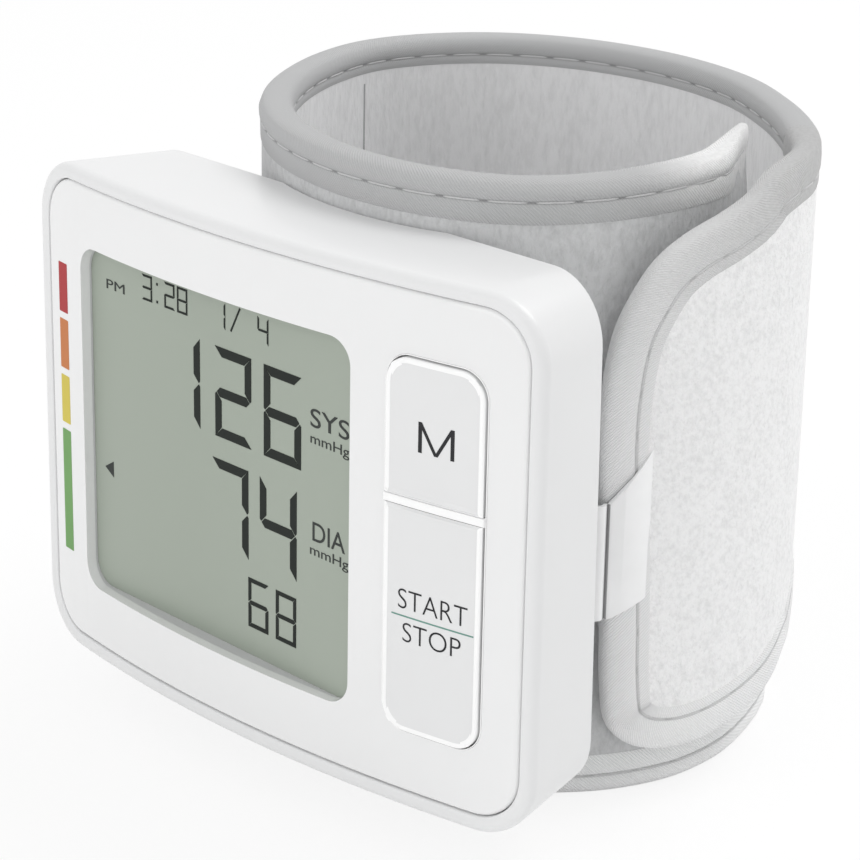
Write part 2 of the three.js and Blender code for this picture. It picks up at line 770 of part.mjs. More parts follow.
const hinge = cuffPath.getPointAt(hingeShare);
const pathLength = cuffPath.getLength();
const flapStart = hingeShare + gap / pathLength;
const flapLength = hinge.y - flapTip;

function flapEdge() {
  const points = flapOutlineShares.map(([share, height]) => (
    new THREE.Vector2(flapTip + share * flapLength, height * cuffTop)
  ));
  return new THREE.SplineCurve(points).getPoints(points.length * outlineSteps);
}

// The flap outline moved inwards by a distance, to leave room for its edge tape.
function flapRegion(inset = 0) {
  const edge = flapEdge();
  const moved = edge.map((point, index) => {
    const before = edge[Math.max(0, index - 1)];
    const after = edge[Math.min(edge.length - 1, index + 1)];
    const forward = after.clone().sub(before).normalize();
    return new THREE.Vector2(point.x - forward.y * inset, point.y + forward.x * inset);
  });
  return sideways(new THREE.Shape(moved), 0, caseWidth);
}

function flapStrip(inner, outer) {
  return strip(flapStart, 1, inner, outer, cuffBottom, caseHeight, flapSteps);
}

function shareBefore(distance) {
  return tipShare - distance / pathLength;
}

const tipShare = findShareAt(flapTip);

function findShareAt(y) {
  let low = hingeShare;
  let high = 1;
  while (high - low > weld) {
    const middle = (low + high) / 2;
    if (cuffPath.getPointAt(middle).y > y) {
      low = middle;
    } else {
      high = middle;
    }
  }
  return low;
}

const halfFlap = flapThickness / 2;
const flapReach = halfFlap + bindingExtra;

function hookPatch() {
  const near = halfFlap + gap;
  const region = rectangle(0, -hookHeight / 2, cuffY, hookHeight / 2);
  const patch = strip(
    shareBefore(hookSetback + hookLength), shareBefore(hookSetback), -near - hookThickness, -near,
    cuffBottom, cuffTop, flapSteps,
  );
  return patch.intersect(sideways(region, 0, caseWidth));
}

// A ribbon folded round the edge of the flap as a finger grip.
function pullTab() {
  const near = flapReach + tabGap;
  const far = near + tabThickness;
  const tip = cuffPath.getPointAt(tipShare);
  const back = shareBefore(tabReach);
  const outer = strip(back, tipShare, near, far, cuffBottom, cuffTop, flapSteps);
  const inner = strip(back, tipShare, -far, -near, tabBottom, tabTop, flapSteps);
  const leg = new THREE.Shape([
    new THREE.Vector2(0, tabBottom),
    new THREE.Vector2(flapTip, tabBottom),
    new THREE.Vector2(flapTip + 2 * tabReach, tabBottom + 2 * tabRise / 3),
    new THREE.Vector2(flapTip + 2 * tabReach, tabTop + 2 * tabRise),
    new THREE.Vector2(flapTip, tabTop),
    new THREE.Vector2(0, tabTop),
  ]);
  const forward = cuffPath.getTangentAt(tipShare);
  const fold = upright(disc(2 * far, tip.x, tip.y), tabBottom, tabTop);
  const hollow = upright(disc(2 * near, tip.x, tip.y), cuffBottom, cuffTop);
  const turn = Math.atan2(forward.y, forward.x);
  const half = new THREE.BoxGeometry(caseWidth, caseWidth, caseHeight);
  half.translate(-caseWidth / 2 - tabGap / 2, 0, 0);
  half.rotateZ(turn);
  half.translate(tip.x, tip.y, 0);
  const loop = fold.subtract(hollow).subtract(solidOf(half));
  return joined([outer.intersect(sideways(leg, 0, caseWidth)), inner, loop]);
}

const flapPanel = flapStrip(-halfFlap, halfFlap).intersect(flapRegion(flapEdgeWidth + gap));
add('flap', flapPanel, 0xdcdedf, 0.95);
const flapTape = flapRegion().subtract(flapRegion(flapEdgeWidth));
add('flap_binding', flapStrip(-flapReach, flapReach).intersect(flapTape), 0xbfc2c5, 0.9);
add('hook_patch', hookPatch(), 0xd8dadb, 0.8);
add('pull_tab', pullTab(), 0xe4e6e7, 0.3);

// The origin is the middle of the footprint, on the level that the cuff stands on.
const extent = new THREE.Box3().setFromObject(group);
const middle = extent.getCenter(new THREE.Vector3());
for (const mesh of group.children) {
  mesh.geometry.translate(-middle.x, -middle.y, -extent.min.z);
}

export default group;
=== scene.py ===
import math

import bpy
from mathutils import Matrix, Vector


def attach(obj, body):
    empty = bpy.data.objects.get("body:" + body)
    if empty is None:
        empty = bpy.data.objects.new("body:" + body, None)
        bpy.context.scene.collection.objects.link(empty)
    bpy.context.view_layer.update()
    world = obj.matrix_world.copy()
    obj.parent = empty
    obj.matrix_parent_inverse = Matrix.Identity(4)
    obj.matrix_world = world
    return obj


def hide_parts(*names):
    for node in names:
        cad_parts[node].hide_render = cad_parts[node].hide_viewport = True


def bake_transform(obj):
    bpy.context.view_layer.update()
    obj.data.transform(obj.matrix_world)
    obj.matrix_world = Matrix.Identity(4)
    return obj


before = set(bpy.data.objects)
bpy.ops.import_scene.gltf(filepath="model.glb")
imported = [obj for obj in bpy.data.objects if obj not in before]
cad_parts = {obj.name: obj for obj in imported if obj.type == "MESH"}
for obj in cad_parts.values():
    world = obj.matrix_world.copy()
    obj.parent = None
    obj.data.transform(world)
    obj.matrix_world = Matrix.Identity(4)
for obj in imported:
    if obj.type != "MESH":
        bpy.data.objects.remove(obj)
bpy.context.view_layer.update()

# Lengths are in millimetres and become metres through MM. Pieces are made with the middle of the
# case front at the origin, x to the right, y into the case and z up, and then moved into the frame.
MM = 0.001
CASE_PLACE = Vector((1.526, -40.952, 36.7)) * MM
GAP = 0.3
NEARLY = 0.01
WELD = 0.0005
FRONT_FACING_SHARE = 0.9
QUARTER_TURN = math.pi / 2

# Degrees up to which edges are shown smooth
SMOOTH_CASE = 30
SMOOTH_CLOTH = 40
SMOOTH_TAPE = 50
SMOOTH_THREAD = 60

# How far cutting blocks stand past what they cut, and how deep the cutters of cloth are
SHORT_PAST = 1.0
PAST = 2.0
REACH = 5.0
CUTTER_BACK = 6.0
OUTLINE_HALF_DEPTH = 10.0

# Camera, fitted to the outline of the object
IMAGE_WIDTH = 860
FOCAL_PIXELS = 2911.6
SENSOR_WIDTH = 36.0
CAMERA_PLACE = Vector((233.545, -231.520, 153.382)) * MM
CAMERA_FORWARD = Vector((-0.683457, 0.645032, -0.341790))
CAMERA_UP = Vector((-0.261741, 0.220543, 0.939602))
CLIP_START = 10.0

# Floor and light. Each lamp has a place, what it points at and its sides in metres, and its power.
FLOOR_SIZE = 6000.0
FLOOR_DROP = 0.2
FLOOR_GLOW_SHARE = 0.85
WORLD_AHEAD = 0.96
WORLD_BESIDE = 0.56
WHITE = (1, 1, 1, 1)
LAMPS = (
    ("front_softbox", (0.05, -0.9, 0.4), (0, 0, 0.04), (0.8, 0.8), 1.6),
    ("side_softbox", (0.9, -0.3, 0.12), (0.03, 0.02, 0.03), (0.7, 0.5), 0.12),
    ("top_softbox", (0.2, 0.45, 0.8), (0, 0, 0.04), (0.5, 0.5), 2.9),
)

# Case. The lip round the fascia spreads to the left and below, and the back is cut on a slant.
CASE_WIDTH = 80.0
CASE_HEIGHT = 60.4
CASE_DEPTH = 17.2
CASE_CORNER = 7.4
CASE_WALL = 1.67
CASE_EDGE = 1.3
TOP_DRAFT = 0.7
REAR_SLANT = 0.009
REAR_RAKE = 0.02
REAR_RIM = 0.3
COVER_SEAT = 2.3
COVER_WIDTH_SHARE = 0.935
LIP_SPREAD = 0.9
LOWER_SPREAD = 0.5
LIP_EDGE = 0.4
LIP_GAP = 0.1
FASCIA_THICKNESS = 1.2
FASCIA_EDGE = 0.55
PORT_WIDTH = 3.3
PORT_HEIGHT = 8.0
PORT_DEPTH = 7.0
PORT_CORNER = 1.1
PORT_Y = 10.85
PORT_Z = 14.6

# Bow of the case front, and the spacing of the cuts that let pieces follow it
FRONT_CREST = -8.6
FRONT_FALL = 6.4
FRONT_BOW = ((CASE_WIDTH / 2 - FRONT_CREST) ** 2 / FRONT_FALL + FRONT_FALL) / 2
BOW_START = -70.0
BOW_END = 70.0
BOW_STEPS = 280
BOW_SPACING = 2.5

# Display. A cell is the width, height and stroke of a figure, and a row is its cell, its foot and
# the left sides of its figures.
WINDOW_WIDTH = 46.9
WINDOW_HEIGHT = 42.3
WINDOW_CORNER = 3.0
WINDOW_X = -7.35
WINDOW_Z = 0.15
WINDOW_SKIRT = 0.45
SKIRT_TRIM = 0.02
SKIRT_OPENING = 0.04
DISPLAY_FACE = 2.8
DISPLAY_THICKNESS = 2.2
BAR_THICKNESS = 0.04
BAR_SLIT_SHARE = 0.07
BAR_POINT_SHARE = 0.2
FIGURE_BARS = {
    "1": "bc", "2": "abged", "3": "abgcd", "4": "fgbc", "6": "afgedc", "7": "abc", "8": "abcdefg",
}
BIG_CELL = (6.3, 10.65, 1.12)
SMALL_CELL = (3.5, 6.0, 0.52)
TINY_CELL = (1.85, 3.05, 0.27)
FIGURE_ROWS = (
    (BIG_CELL, 3.85, (("1", -16.95), ("2", -7.95), ("6", 0.5))),
    (BIG_CELL, -9.5, (("7", -8.5), ("4", -0.2))),
    (SMALL_CELL, -17.6, (("6", -2.25), ("8", 2.55))),
    (TINY_CELL, 16.7, (("3", -21.05), ("2", -16.95), ("8", -14.65), ("1", -7.95), ("4", -0.55))),
)
COLON_X = -18.27
COLON_HEIGHTS = (17.0, 19.1)
DOT_HALF = 0.15
SLASH_X = -4.35
SLASH_Z = 18.3
SLASH_HALF_WIDTH = 0.12
SLASH_HALF_LENGTH = 1.7
SLASH_LEAN = math.radians(28)
ARROW_X = -28.7
ARROW_Z = -5.85
ARROW_LENGTH = 1.62
ARROW_HALF = 1.0
TEXT_DEPTH = 0.02
DISPLAY_MARKS = (
    ("morning_or_evening_mark", "PM", (-27.75, -24.35, 16.42, 17.56)),
    ("upper_reading_mark", "SYS", (8.35, 14.65, 9.45, 11.6)),
    ("upper_unit_mark", "mmHg", (8.36, 14.68, 7.2, 8.72)),
    ("lower_reading_mark", "DIA", (8.77, 14.1, -3.72, -1.5)),
    ("lower_unit_mark", "mmHg", (8.37, 14.7, -5.8, -4.28)),
)

# Colour bar beside the window
STRIPE_LEFT = -35.95
STRIPE_RIGHT = -34.0
STRIPE_PROUD = 0.03
STRIPE_INLAY = 0.2
STRIPE_CORNER = 0.12
STRIPES = (
    ("red", 11.9, 17.98), ("orange", 4.94, 11.05), ("yellow", -1.92, 4.05), ("green", -18.15, -2.8),
)

# Keys
KEY_WIDTH = 12.35
KEY_BANK_HEIGHT = 42.4
KEY_CORNER = 3.0
KEY_X = 27.3
KEY_Z = 0.15
KEY_SPLIT = 5.4
KEY_BAR = 0.5
KEY_PROUD = 0.5
KEY_RIM = 0.75
KEY_RIM_FLAT_SHARE = 0.55
# Faces this near the edge of a key take the painted highlight of the rim.
KEY_RIM_REACH = KEY_RIM * 0.9
KEY_EDGE = 0.22
KEY_SINK = 0.12
KEY_FACE = -KEY_PROUD + KEY_SINK
KEY_SLACK = 0.06
KEY_SIDE_SLACK = 0.18
FRAME_SLACK = 0.02
FRAME_PROUD = 0.12
PRINT_THICKNESS = 0.03
MEMORY_MARK = (25.4, 29.9, 11.32, 14.7)
MEMORY_STROKE = 0.47
MEMORY_SLOPE_SHARE = 0.95
MEMORY_SPACING = 1.0
KEY_WORDS = (
    ("start_mark", "START", (23.15, 31.95, -6.75, -4.5)),
    ("stop_mark", "STOP", (23.8, 31.2, -10.5, -8.3)),
)
KEY_WORD_THINNING = -0.014
KEY_LINE = (22.3, 32.75, -7.68, -7.52)

# Cuff
CUFF_HALF_WIDTH = 36.6
CUFF_HALF_DEPTH = 31.5
CUFF_X = -4.35
CUFF_Y = 48.3
CUFF_TOP = 36.0
CUFF_BOTTOM = -36.7
CUFF_THICKNESS = 3.5
LAYER_GAP = 0.02
JOIN_LAP = 0.5
HINGE_SHARE = 0.862
NECK_SHARE = 0.76
WAIST_SHARE = 0.825
JOIN_BEFORE_HINGE = 10.0
LEAN_REACH = 3.8
LEAN_START_SHARE = -0.06
LEAN_RISE_SHARE = 0.01
LEAN_FALL_SHARE = 0.08
LEAN_END_SHARE = 0.17
CUFF_PATH_SHARES = (
    (0.654, 0.413), (0.736, 0.190), (0.796, -0.063), (0.802, -0.317), (0.758, -0.571),
    (0.638, -0.800), (0.414, -0.950), (0.163, -1.000), (-0.072, -0.975), (-0.325, -0.880),
    (-0.590, -0.680), (-0.805, -0.390), (-0.950, -0.060), (-1.000, 0.222), (-0.947, 0.483),
    (-0.800, 0.735), (-0.540, 0.925), (-0.198, 1.000), (0.170, 0.935), (0.471, 0.760),
    (0.725, 0.540), (0.900, 0.330), (0.985, 0.140), (1.018, -0.063), (1.010, -0.286),
    (0.966, -0.492), (0.895, -0.673), (0.845, -0.760),
)

# Room for the cuff in the back of the case
SPACE_OUTER = 4.0
SPACE_HALF_HEIGHT = 50.0

# Inner end of the cuff. Its edge runs inwards near the top and back outwards further down.
INNER_END = 6.6
INNER_END_REACH = 9.0
END_FOLD_DROP = 5.0
END_FOLD_SHARE = 0.4
END_SLANT_SHARE = 0.25
END_THINNING_SHARE = 0.6
END_LIFT_DROP = 8.0
END_LIFT = 1.5

# Flap
FLAP_TIP = 26.9
FLAP_WAIST = -20.5
FLAP_ROOT = -25.5
FLAP_THICKNESS = 2.5
THINNING_REACH = 12.0
NECK_POINTS = 7
FLAP_OUTLINE_SHARES = (
    (1.000, 1.000), (0.860, 1.000), (0.700, 0.975), (0.600, 0.925), (0.480, 0.888),
    (0.300, 0.835), (0.180, 0.765), (0.095, 0.660), (0.042, 0.555), (0.012, 0.410),
    (0.000, 0.230), (0.010, 0.000), (0.022, -0.200), (0.032, -0.420), (0.040, -0.600),
    (0.068, -0.745), (0.150, -0.815), (0.270, -0.848), (0.430, -0.850), (0.630, -0.822),
    (0.820, -0.780), (0.935, -0.740),
)

# Spacing of the points of cloth edges, tapes, threads and routes, and of the cuts across cloth
EDGE_STEP = 1.0
TAPE_STEP = 1.2
THREAD_STEP = 0.8
ROUTE_STEP = 0.5
SPACE_STEP = 1.5
CUFF_SPACING = 1.5
FLAP_SPACING = 1.2

# Edge tapes. The fold over the edge has heights as shares of half the cloth's thickness. The other
# points have a mark that they are counted from, a length past it and a height above the cloth.
TAPE_HEIGHT = 4.9
INNER_TAPE_HEIGHT = 3.6
STITCH_DROP = 2.4
FLAP_TAPE_HEIGHT = 5.4
FLAP_STITCH_DROP = 3.9
SWELL_SHARE = 0.55
GROOVE_REACH = 0.5
RIB_SLANT = math.radians(48)
TAPE_FOLD = ((0.0, 0.0), (0.04, 0.45), (0.18, 0.75))
TAPE_SECTION = (
    ("edge", 0.5, 0.02), ("edge", 1.0, 0.22), ("swell", 0.0, 0.33), ("stitch", -0.55, 0.3),
    ("stitch", -0.2, 0.17), ("stitch", 0.0, 0.03), ("stitch", 0.2, 0.13), ("stitch", 0.5, 0.17),
    ("rim", -0.3, 0.14), ("rim", 0.0, 0.04), ("rim", 0.0, -0.15),
)

# Stitches and the seam of the lining
STITCH_PITCH = 4.7
STITCH_LENGTH = STITCH_PITCH * 0.84
STITCH_LIFT = 0.1
STITCH_CUTS = (-1.2, -0.6, 0.6, 1.2)
STITCH_END = 1.3
STITCH_DIP = 0.16
THREAD_RADIUS = 0.12
THREAD_EDGE = 0.07
SEAM_ALONG = 119.4
SEAM_HALF = 0.14
SEAM_PROUD = 0.05

# Pull tab, whose line starts on the outer side, loops past the tip of the flap and comes back
RIBBON_THICKNESS = 0.4
TAB_TOP = 0.9
TAB_BOTTOM = -12.7
TAB_LINE = (
    (-6.1, 0.95), (-5.1, 1.4), (-3.4, 1.8), (-2.0, 1.93), (-1.1, 1.9), (-0.8, 1.45), (-0.5, 1.9),
    (-0.1, 2.3), (0.4, 2.25), (0.9, 1.6), (1.2, 0.3), (1.0, -1.2), (0.3, -1.9), (-0.6, -2.02),
    (-2.4, -1.9), (-4.7, -1.8),
)
# Places of the creases of the fold, which are painted dark as shade, and the height above which faces
# count.
TAB_CREASES = ((-0.98, -0.62), (0.62, 1.5))
CREASE_FLOOR = 0.8
TAB_FLARE_START = 1.3
TAB_FLARE_TOP = 1.2
TAB_FLARE_BOTTOM = 0.4

# Softened edges of pieces that keep their solid shape, and the cross in the cover screws
SOFT_EDGE = 0.12
RECESS_LENGTH = 1.7
RECESS_WIDTH = 0.4
RECESS_DEPTH = 0.5
COVER_SCREWS = 4


# Selecting and editing

def only(*pieces):
    bpy.ops.object.select_all(action="DESELECT")
    for piece in pieces:
        piece.select_set(True)
    if pieces:
        bpy.context.view_layer.objects.active = pieces[0]


def apply_transform(piece):
    only(piece)
    bpy.ops.object.transform_apply(location=True, rotation=True, scale=True)


def apply_modifier(piece, kind, **settings):
    only(piece)
    modifier = piece.modifiers.new(kind.lower(), kind)
    for name, value in settings.items():
        setattr(modifier, name, value)
    bpy.ops.object.modifier_apply(modifier=modifier.name)


def work_on(piece, mode, wanted, *steps):
    """Selects points, edges or faces by their place in millimetres and runs the steps on them."""
    only(piece)
    mesh = piece.data
    points = [vertex.co / MM for vertex in mesh.vertices]
    bpy.context.tool_settings.mesh_select_mode = [mode == kind for kind in ("VERT", "EDGE", "FACE")]
    for polygon in mesh.polygons:
        polygon.select = mode == "FACE" and wanted(polygon.center / MM, polygon.normal)
    for edge in mesh.edges:
        edge.select = mode == "EDGE" and wanted(*[points[index] for index in edge.vertices])
    for vertex, point in zip(mesh.vertices, points):
        vertex.select = mode == "VERT" and wanted(point)
    for part in [*mesh.polygons, *mesh.edges]:
        if part.select:
            for index in part.vertices:
                mesh.vertices[index].select = True
    bpy.ops.object.mode_set(mode="EDIT")
    for step in steps:
        step()
    bpy.ops.object.mode_set(mode="OBJECT")


def everything(*_):
    return True


def block(name, left, right, front, back, bottom, top):
    low = Vector((left, front, bottom))
    high = Vector((right, back, top))
    only()
    bpy.ops.mesh.primitive_cube_add(size=1, location=(low + high) / 2 * MM)
    piece = bpy.context.object
    piece.name = name
    piece.scale = (high - low) * MM
    apply_transform(piece)
    return piece


def round_edges(piece, wanted, radius, segments):
    work_on(piece, "EDGE", wanted, lambda: bpy.ops.mesh.bevel(
        offset=radius * MM, offset_type="OFFSET", segments=segments, profile=0.5,
        affect="EDGES", clamp_overlap=True,
    ))


def along_depth(a, b):
    return abs(a.x - b.x) < NEARLY and abs(a.z - b.z) < NEARLY


def on_front(a, b):
    return max(a.y, b.y) < NEARLY


def faces_front(place, normal):
    return normal.y < -FRONT_FACING_SHARE


def cut_out(piece, cutter, operation="DIFFERENCE"):
    apply_modifier(piece, "BOOLEAN", operation=operation, object=cutter, solver="EXACT")
    bpy.data.objects.remove(cutter)


def merge_pieces(name, pieces):
    only(*pieces)
    bpy.ops.object.join()
    pieces[0].name = name
    return pieces[0]


def cut_across(piece, place):
    """Divides the faces of a piece at a place along x."""
    work_on(piece, "FACE", everything, lambda: bpy.ops.mesh.bisect(
        plane_co=(place * MM, 0, 0), plane_no=(1, 0, 0), use_fill=False,
    ))


def extent(piece):
    """The lowest and the highest corner of a piece."""
    spots = [vertex.co / MM for vertex in piece.data.vertices]
    return [Vector([pick(spot[i] for spot in spots) for i in range(3)]) for pick in (min, max)]


def score(piece, spacing=BOW_SPACING):
    """Cuts the faces across in even steps along x, so that a bend runs smoothly through them."""
    xs = [vertex.co.x / MM for vertex in piece.data.vertices]
    start = min(xs)
    length = max(xs) - start
    count = math.ceil(length / spacing)
    for step in range(1, count):
        cut_across(piece, start + length * step / count)


def slice_off(piece, place, normal):
    """Cuts away what lies beyond a plane and closes the cut."""
    work_on(piece, "FACE", everything, lambda: bpy.ops.mesh.bisect(
        plane_co=Vector(place) * MM, plane_no=normal, use_fill=True, clear_outer=True,
    ))


def face_outwards(piece):
    work_on(
        piece, "FACE", everything,
        lambda: bpy.ops.mesh.remove_doubles(threshold=WELD * MM),
        lambda: bpy.ops.mesh.normals_make_consistent(inside=False),
    )


def move_by(piece, x, y, z):
    piece.location = Vector((x, y, z)) * MM
    apply_transform(piece)


def turn_by(piece, x, y, z):
    piece.rotation_euler = (x, y, z)
    apply_transform(piece)


def copy_of(piece, name):
    copy = piece.copy()
    copy.data = piece.data.copy()
    copy.name = name
    bpy.context.collection.objects.link(copy)
    return copy


def smooth(piece, degrees):
    only(piece)
    bpy.ops.object.shade_smooth_by_angle(angle=math.radians(degrees))


def give_material(piece, material):
    piece.data.materials.clear()
    piece.data.materials.append(material)


def settle(piece, material, slot, body, *nodes):
    """Moves a finished piece into the frame, and says what it is and what it stands for."""
    piece.location = CASE_PLACE
    apply_transform(piece)
    give_material(piece, material)
    if body:
        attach(piece, body)
    if nodes:
        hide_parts(*nodes)


def repaint(piece, faces, material):
    """Gives some faces of a settled piece another material."""
    piece.data.materials.append(material)
    for index in faces:
        piece.data.polygons[index].material_index = 1


# Curves

def smooth_step(value, start, end):
    share = min(1, max(0, (value - start) / (end - start)))
    return share * share * (3 - 2 * share)


def poly_curve(name, points, cyclic=False):
    data = bpy.data.curves.new(name, "CURVE")
    data.dimensions = "3D"
    data.twist_mode = "Z_UP"
    spline = data.splines.new("POLY")
    spline.points.add(len(points) - 1)
    for target, point in zip(spline.points, points):
        target.co = (*(Vector(point).to_3d() * MM), 1)
    spline.use_cyclic_u = cyclic
    curve = bpy.data.objects.new(name, data)
    bpy.context.collection.objects.link(curve)
    return curve


def filled_prism(name, points, half_depth):
    """A closed outline, filled and drawn out to both sides."""
    curve = poly_curve(name, points, True)
    curve.data.dimensions = "2D"
    curve.data.fill_mode = "BOTH"
    curve.data.extrude = half_depth * MM
    only(curve)
    bpy.ops.object.convert(target="MESH")
    face_outwards(curve)
    return curve


def swept(name, path, profile):
    """A solid that carries a profile along a path: its x to the right of the way, its y up."""
    profile.data.dimensions = "2D"
    profile.data.fill_mode = "NONE"
    path.name = name
    path.data.bevel_mode = "OBJECT"
    path.data.bevel_object = profile
    path.data.use_fill_caps = True
    only(path)
    bpy.ops.object.convert(target="MESH")
    face_outwards(path)
    bpy.data.objects.remove(profile)
    return path


def catmull_rom(points, steps=16):
    """A smooth line through points, with its speed set by the square root of their spacing."""
    points = [Vector(point).to_3d() for point in points]
    first = points[0] * 2 - points[1]
    last = points[-1] * 2 - points[-2]
    ring = [first, *points, last]
    line = []
    for a, b, c, d in zip(ring, ring[1:], ring[2:], ring[3:]):
        before, span, after = ((q - p).length ** 0.5 for p, q in ((a, b), (b, c), (c, d)))
        leave = ((b - a) / before - (c - a) / (before + span) + (c - b) / span) * span
        arrive = ((c - b) / span - (d - b) / (span + after) + (d - c) / after) * span
        for step in range(steps):
            t = step / steps
            line.append(
                b + leave * t + (-3 * b + 3 * c - 2 * leave - arrive) * t ** 2
                + (2 * b - 2 * c + leave + arrive) * t ** 3
            )
    line.append(points[-1])
    return line


def lengths_along(line):
    lengths = [0.0]
    for a, b in zip(line, line[1:]):
        lengths.append(lengths[-1] + (b - a).length)
    return lengths


def even_steps(line, spacing):
    lengths = lengths_along(line)
    count = max(2, round(lengths[-1] / spacing))
    even = []
    index = 0
    for step in range(count + 1):
        target = lengths[-1] * step / count
        while index < len(line) - 2 and lengths[index + 1] < target:
            index += 1
        share = (target - lengths[index]) / (lengths[index + 1] - lengths[index])
        even.append(line[index].lerp(line[index + 1], share))
    return even


def offset_line(line, distance):
    """A line beside another, to the right of its way."""
    moved = []
    for index, point in enumerate(line):
        ahead = line[min(index + 1, len(line) - 1)] - line[max(index - 1, 0)]
        moved.append(point + Vector((ahead.y, -ahead.x, 0)).normalized() * distance)
    return moved


# The bow of the case front

def laid(x):
    """Where a place on the bowed front comes when the front is laid out flat."""
    return FRONT_CREST + FRONT_BOW * math.asin((x - FRONT_CREST) / FRONT_BOW)


def laid_box(box):
    left, right, bottom, top = box
    return laid(left), laid(right), bottom, top


def front_route():
    points = []
    for step in range(BOW_STEPS + 1):
        turn = (BOW_START + (BOW_END - BOW_START) * step / BOW_STEPS) / FRONT_BOW
        x = FRONT_CREST + FRONT_BOW * math.sin(turn)
        points.append((x, FRONT_BOW * (1 - math.cos(turn)), 0))
    return poly_curve("front_route", points)


bow_route = front_route()


def bow(piece):
    move_by(piece, -FRONT_CREST - BOW_START, 0, 0)
    apply_modifier(piece, "CURVE", object=bow_route, deform_axis="POS_X")


# Nodes of materials and of the world

def set_inputs(node, inputs):
    """Gives each input of a node a value or a link from another node's output."""
    for place, value in inputs.items():
        if isinstance(value, bpy.types.NodeSocket):
            node.id_data.links.new(value, node.inputs[place])
        else:
            node.inputs[place].default_value = value


def add_node(tree, kind, inputs, output=0, **settings):
    """Adds a node to a tree and gives one of its outputs."""
    node = tree.nodes.new(kind)
    for name, value in settings.items():
        setattr(node, name, value)
    set_inputs(node, inputs)
    return node.outputs[output]


def compute(tree, operation, *values):
    return add_node(tree, "ShaderNodeMath", dict(enumerate(values)), operation=operation)


def noise(tree, place, scale, detail=3.0, roughness=0.55):
    return add_node(tree, "ShaderNodeTexNoise", {
        "Vector": place, "Scale": scale, "Detail": detail, "Roughness": roughness,
    }, "Fac")


def ramp(tree, share, stops):
    colour = add_node(tree, "ShaderNodeValToRGB", {"Fac": share})
    elements = colour.node.color_ramp.elements
    while len(elements) < len(stops):
        elements.new(0.5)
    for element, (place, tone) in zip(elements, stops):
        element.position = place
        element.color = (*tone, 1)
    return colour


def mix_shaders(tree, share, first, second):
    return add_node(tree, "ShaderNodeMixShader", {"Fac": share, 1: first, 2: second})


def mix_colours(tree, share, first, second, blend_type="MIX"):
    return add_node(
        tree, "ShaderNodeMix", {0: share, 6: first, 7: second}, 2,
        data_type="RGBA", blend_type=blend_type,
    )


def fade(tree, value, start, end):
    """0 up to the start, 1 past the end and a smooth rise between them."""
    return add_node(tree, "ShaderNodeMapRange", {
        "Value": value, "From Min": start, "From Max": end,
    }, interpolation_type="SMOOTHSTEP")


def bump(tree, height, depth):
    return add_node(tree, "ShaderNodeBump", {
        "Height": height, "Distance": depth * MM, "Strength": 1.0,
    })


def grey(level):
    return (level, level, level)


def darker(colour, share):
    return [channel * share for channel in colour]


def mottled(tree, place, colour, dark_share, scale, detail=3.0):
    """A colour that is a little darker in patches."""
    return ramp(tree, noise(tree, place, scale, detail), (
        (0.3, darker(colour, dark_share)), (0.7, colour),
    ))


def seen_directly(tree):
    """1 for rays from the camera and for those that gloss and glass send on, otherwise 0."""
    path = tree.nodes.new("ShaderNodeLightPath").outputs
    straight = compute(tree, "MAXIMUM", path["Is Camera Ray"], path["Is Glossy Ray"])
    return compute(tree, "MAXIMUM", straight, path["Is Transmission Ray"])


# Materials

def new_material(name):
    material = bpy.data.materials.new(name)
    material.use_nodes = True
    return material, material.node_tree


def shade(tree, inputs):
    set_inputs(tree.nodes["Principled BSDF"], inputs)


def object_place(tree):
    return add_node(tree, "ShaderNodeTexCoord", {}, "Object")


def moulded_gloss(name, colour, roughness, coat):
    material, tree = new_material(name)
    place = object_place(tree)
    shade(tree, {
        "Base Color": mottled(tree, place, colour, dark_share=0.985, scale=60, detail=2.0),
        "Roughness": roughness,
        "Coat Weight": coat,
        "Coat Roughness": 0.04,
        "Normal": bump(tree, noise(tree, place, scale=900, detail=2.0), depth=0.004),
    })
    return material


def plain_finish(name, colour, roughness, metallic=0.0, grain=700, depth=0.006, shine=0.5):
    material, tree = new_material(name)
    place = object_place(tree)
    shade(tree, {
        "Base Color": mottled(tree, place, colour, dark_share=0.95, scale=160),
        "Roughness": roughness,
        "Metallic": metallic,
        "Specular IOR Level": shine,
        "Normal": bump(tree, noise(tree, place, grain, 2.0), depth),
    })
    return material


def display_finish():
    material, tree = new_material("display_grey_green")
    shade(tree, {
        "Base Color": ramp(tree, noise(tree, object_place(tree), scale=25, detail=1.0), (
            (0.3, (0.335, 0.375, 0.318)), (0.7, (0.352, 0.392, 0.335)),
        )),
        "Roughness": 0.35,
    })
    return material


def fleece(name, colour, dark_share, scale, depth, stretch=(1, 1, 1)):
    """Brushed or looped cloth, mottled and pebbly."""
    material, tree = new_material(name)
    place = add_node(tree, "ShaderNodeMapping", {"Vector": object_place(tree), "Scale": stretch})
    fine = noise(tree, place, scale, detail=5.0, roughness=0.65)
    broad = compute(tree, "MULTIPLY", noise(tree, place, scale / 6), 0.25)
    pile = compute(tree, "MULTIPLY_ADD", fine, 0.75, broad)
    shade(tree, {
        "Base Color": ramp(tree, pile, ((0.36, darker(colour, dark_share)), (0.56, colour))),
        "Roughness": 0.95,
        "Sheen Weight": 0.25,
        "Specular IOR Level": 0.15,
        "Normal": bump(tree, pile, depth),
    })
    return material


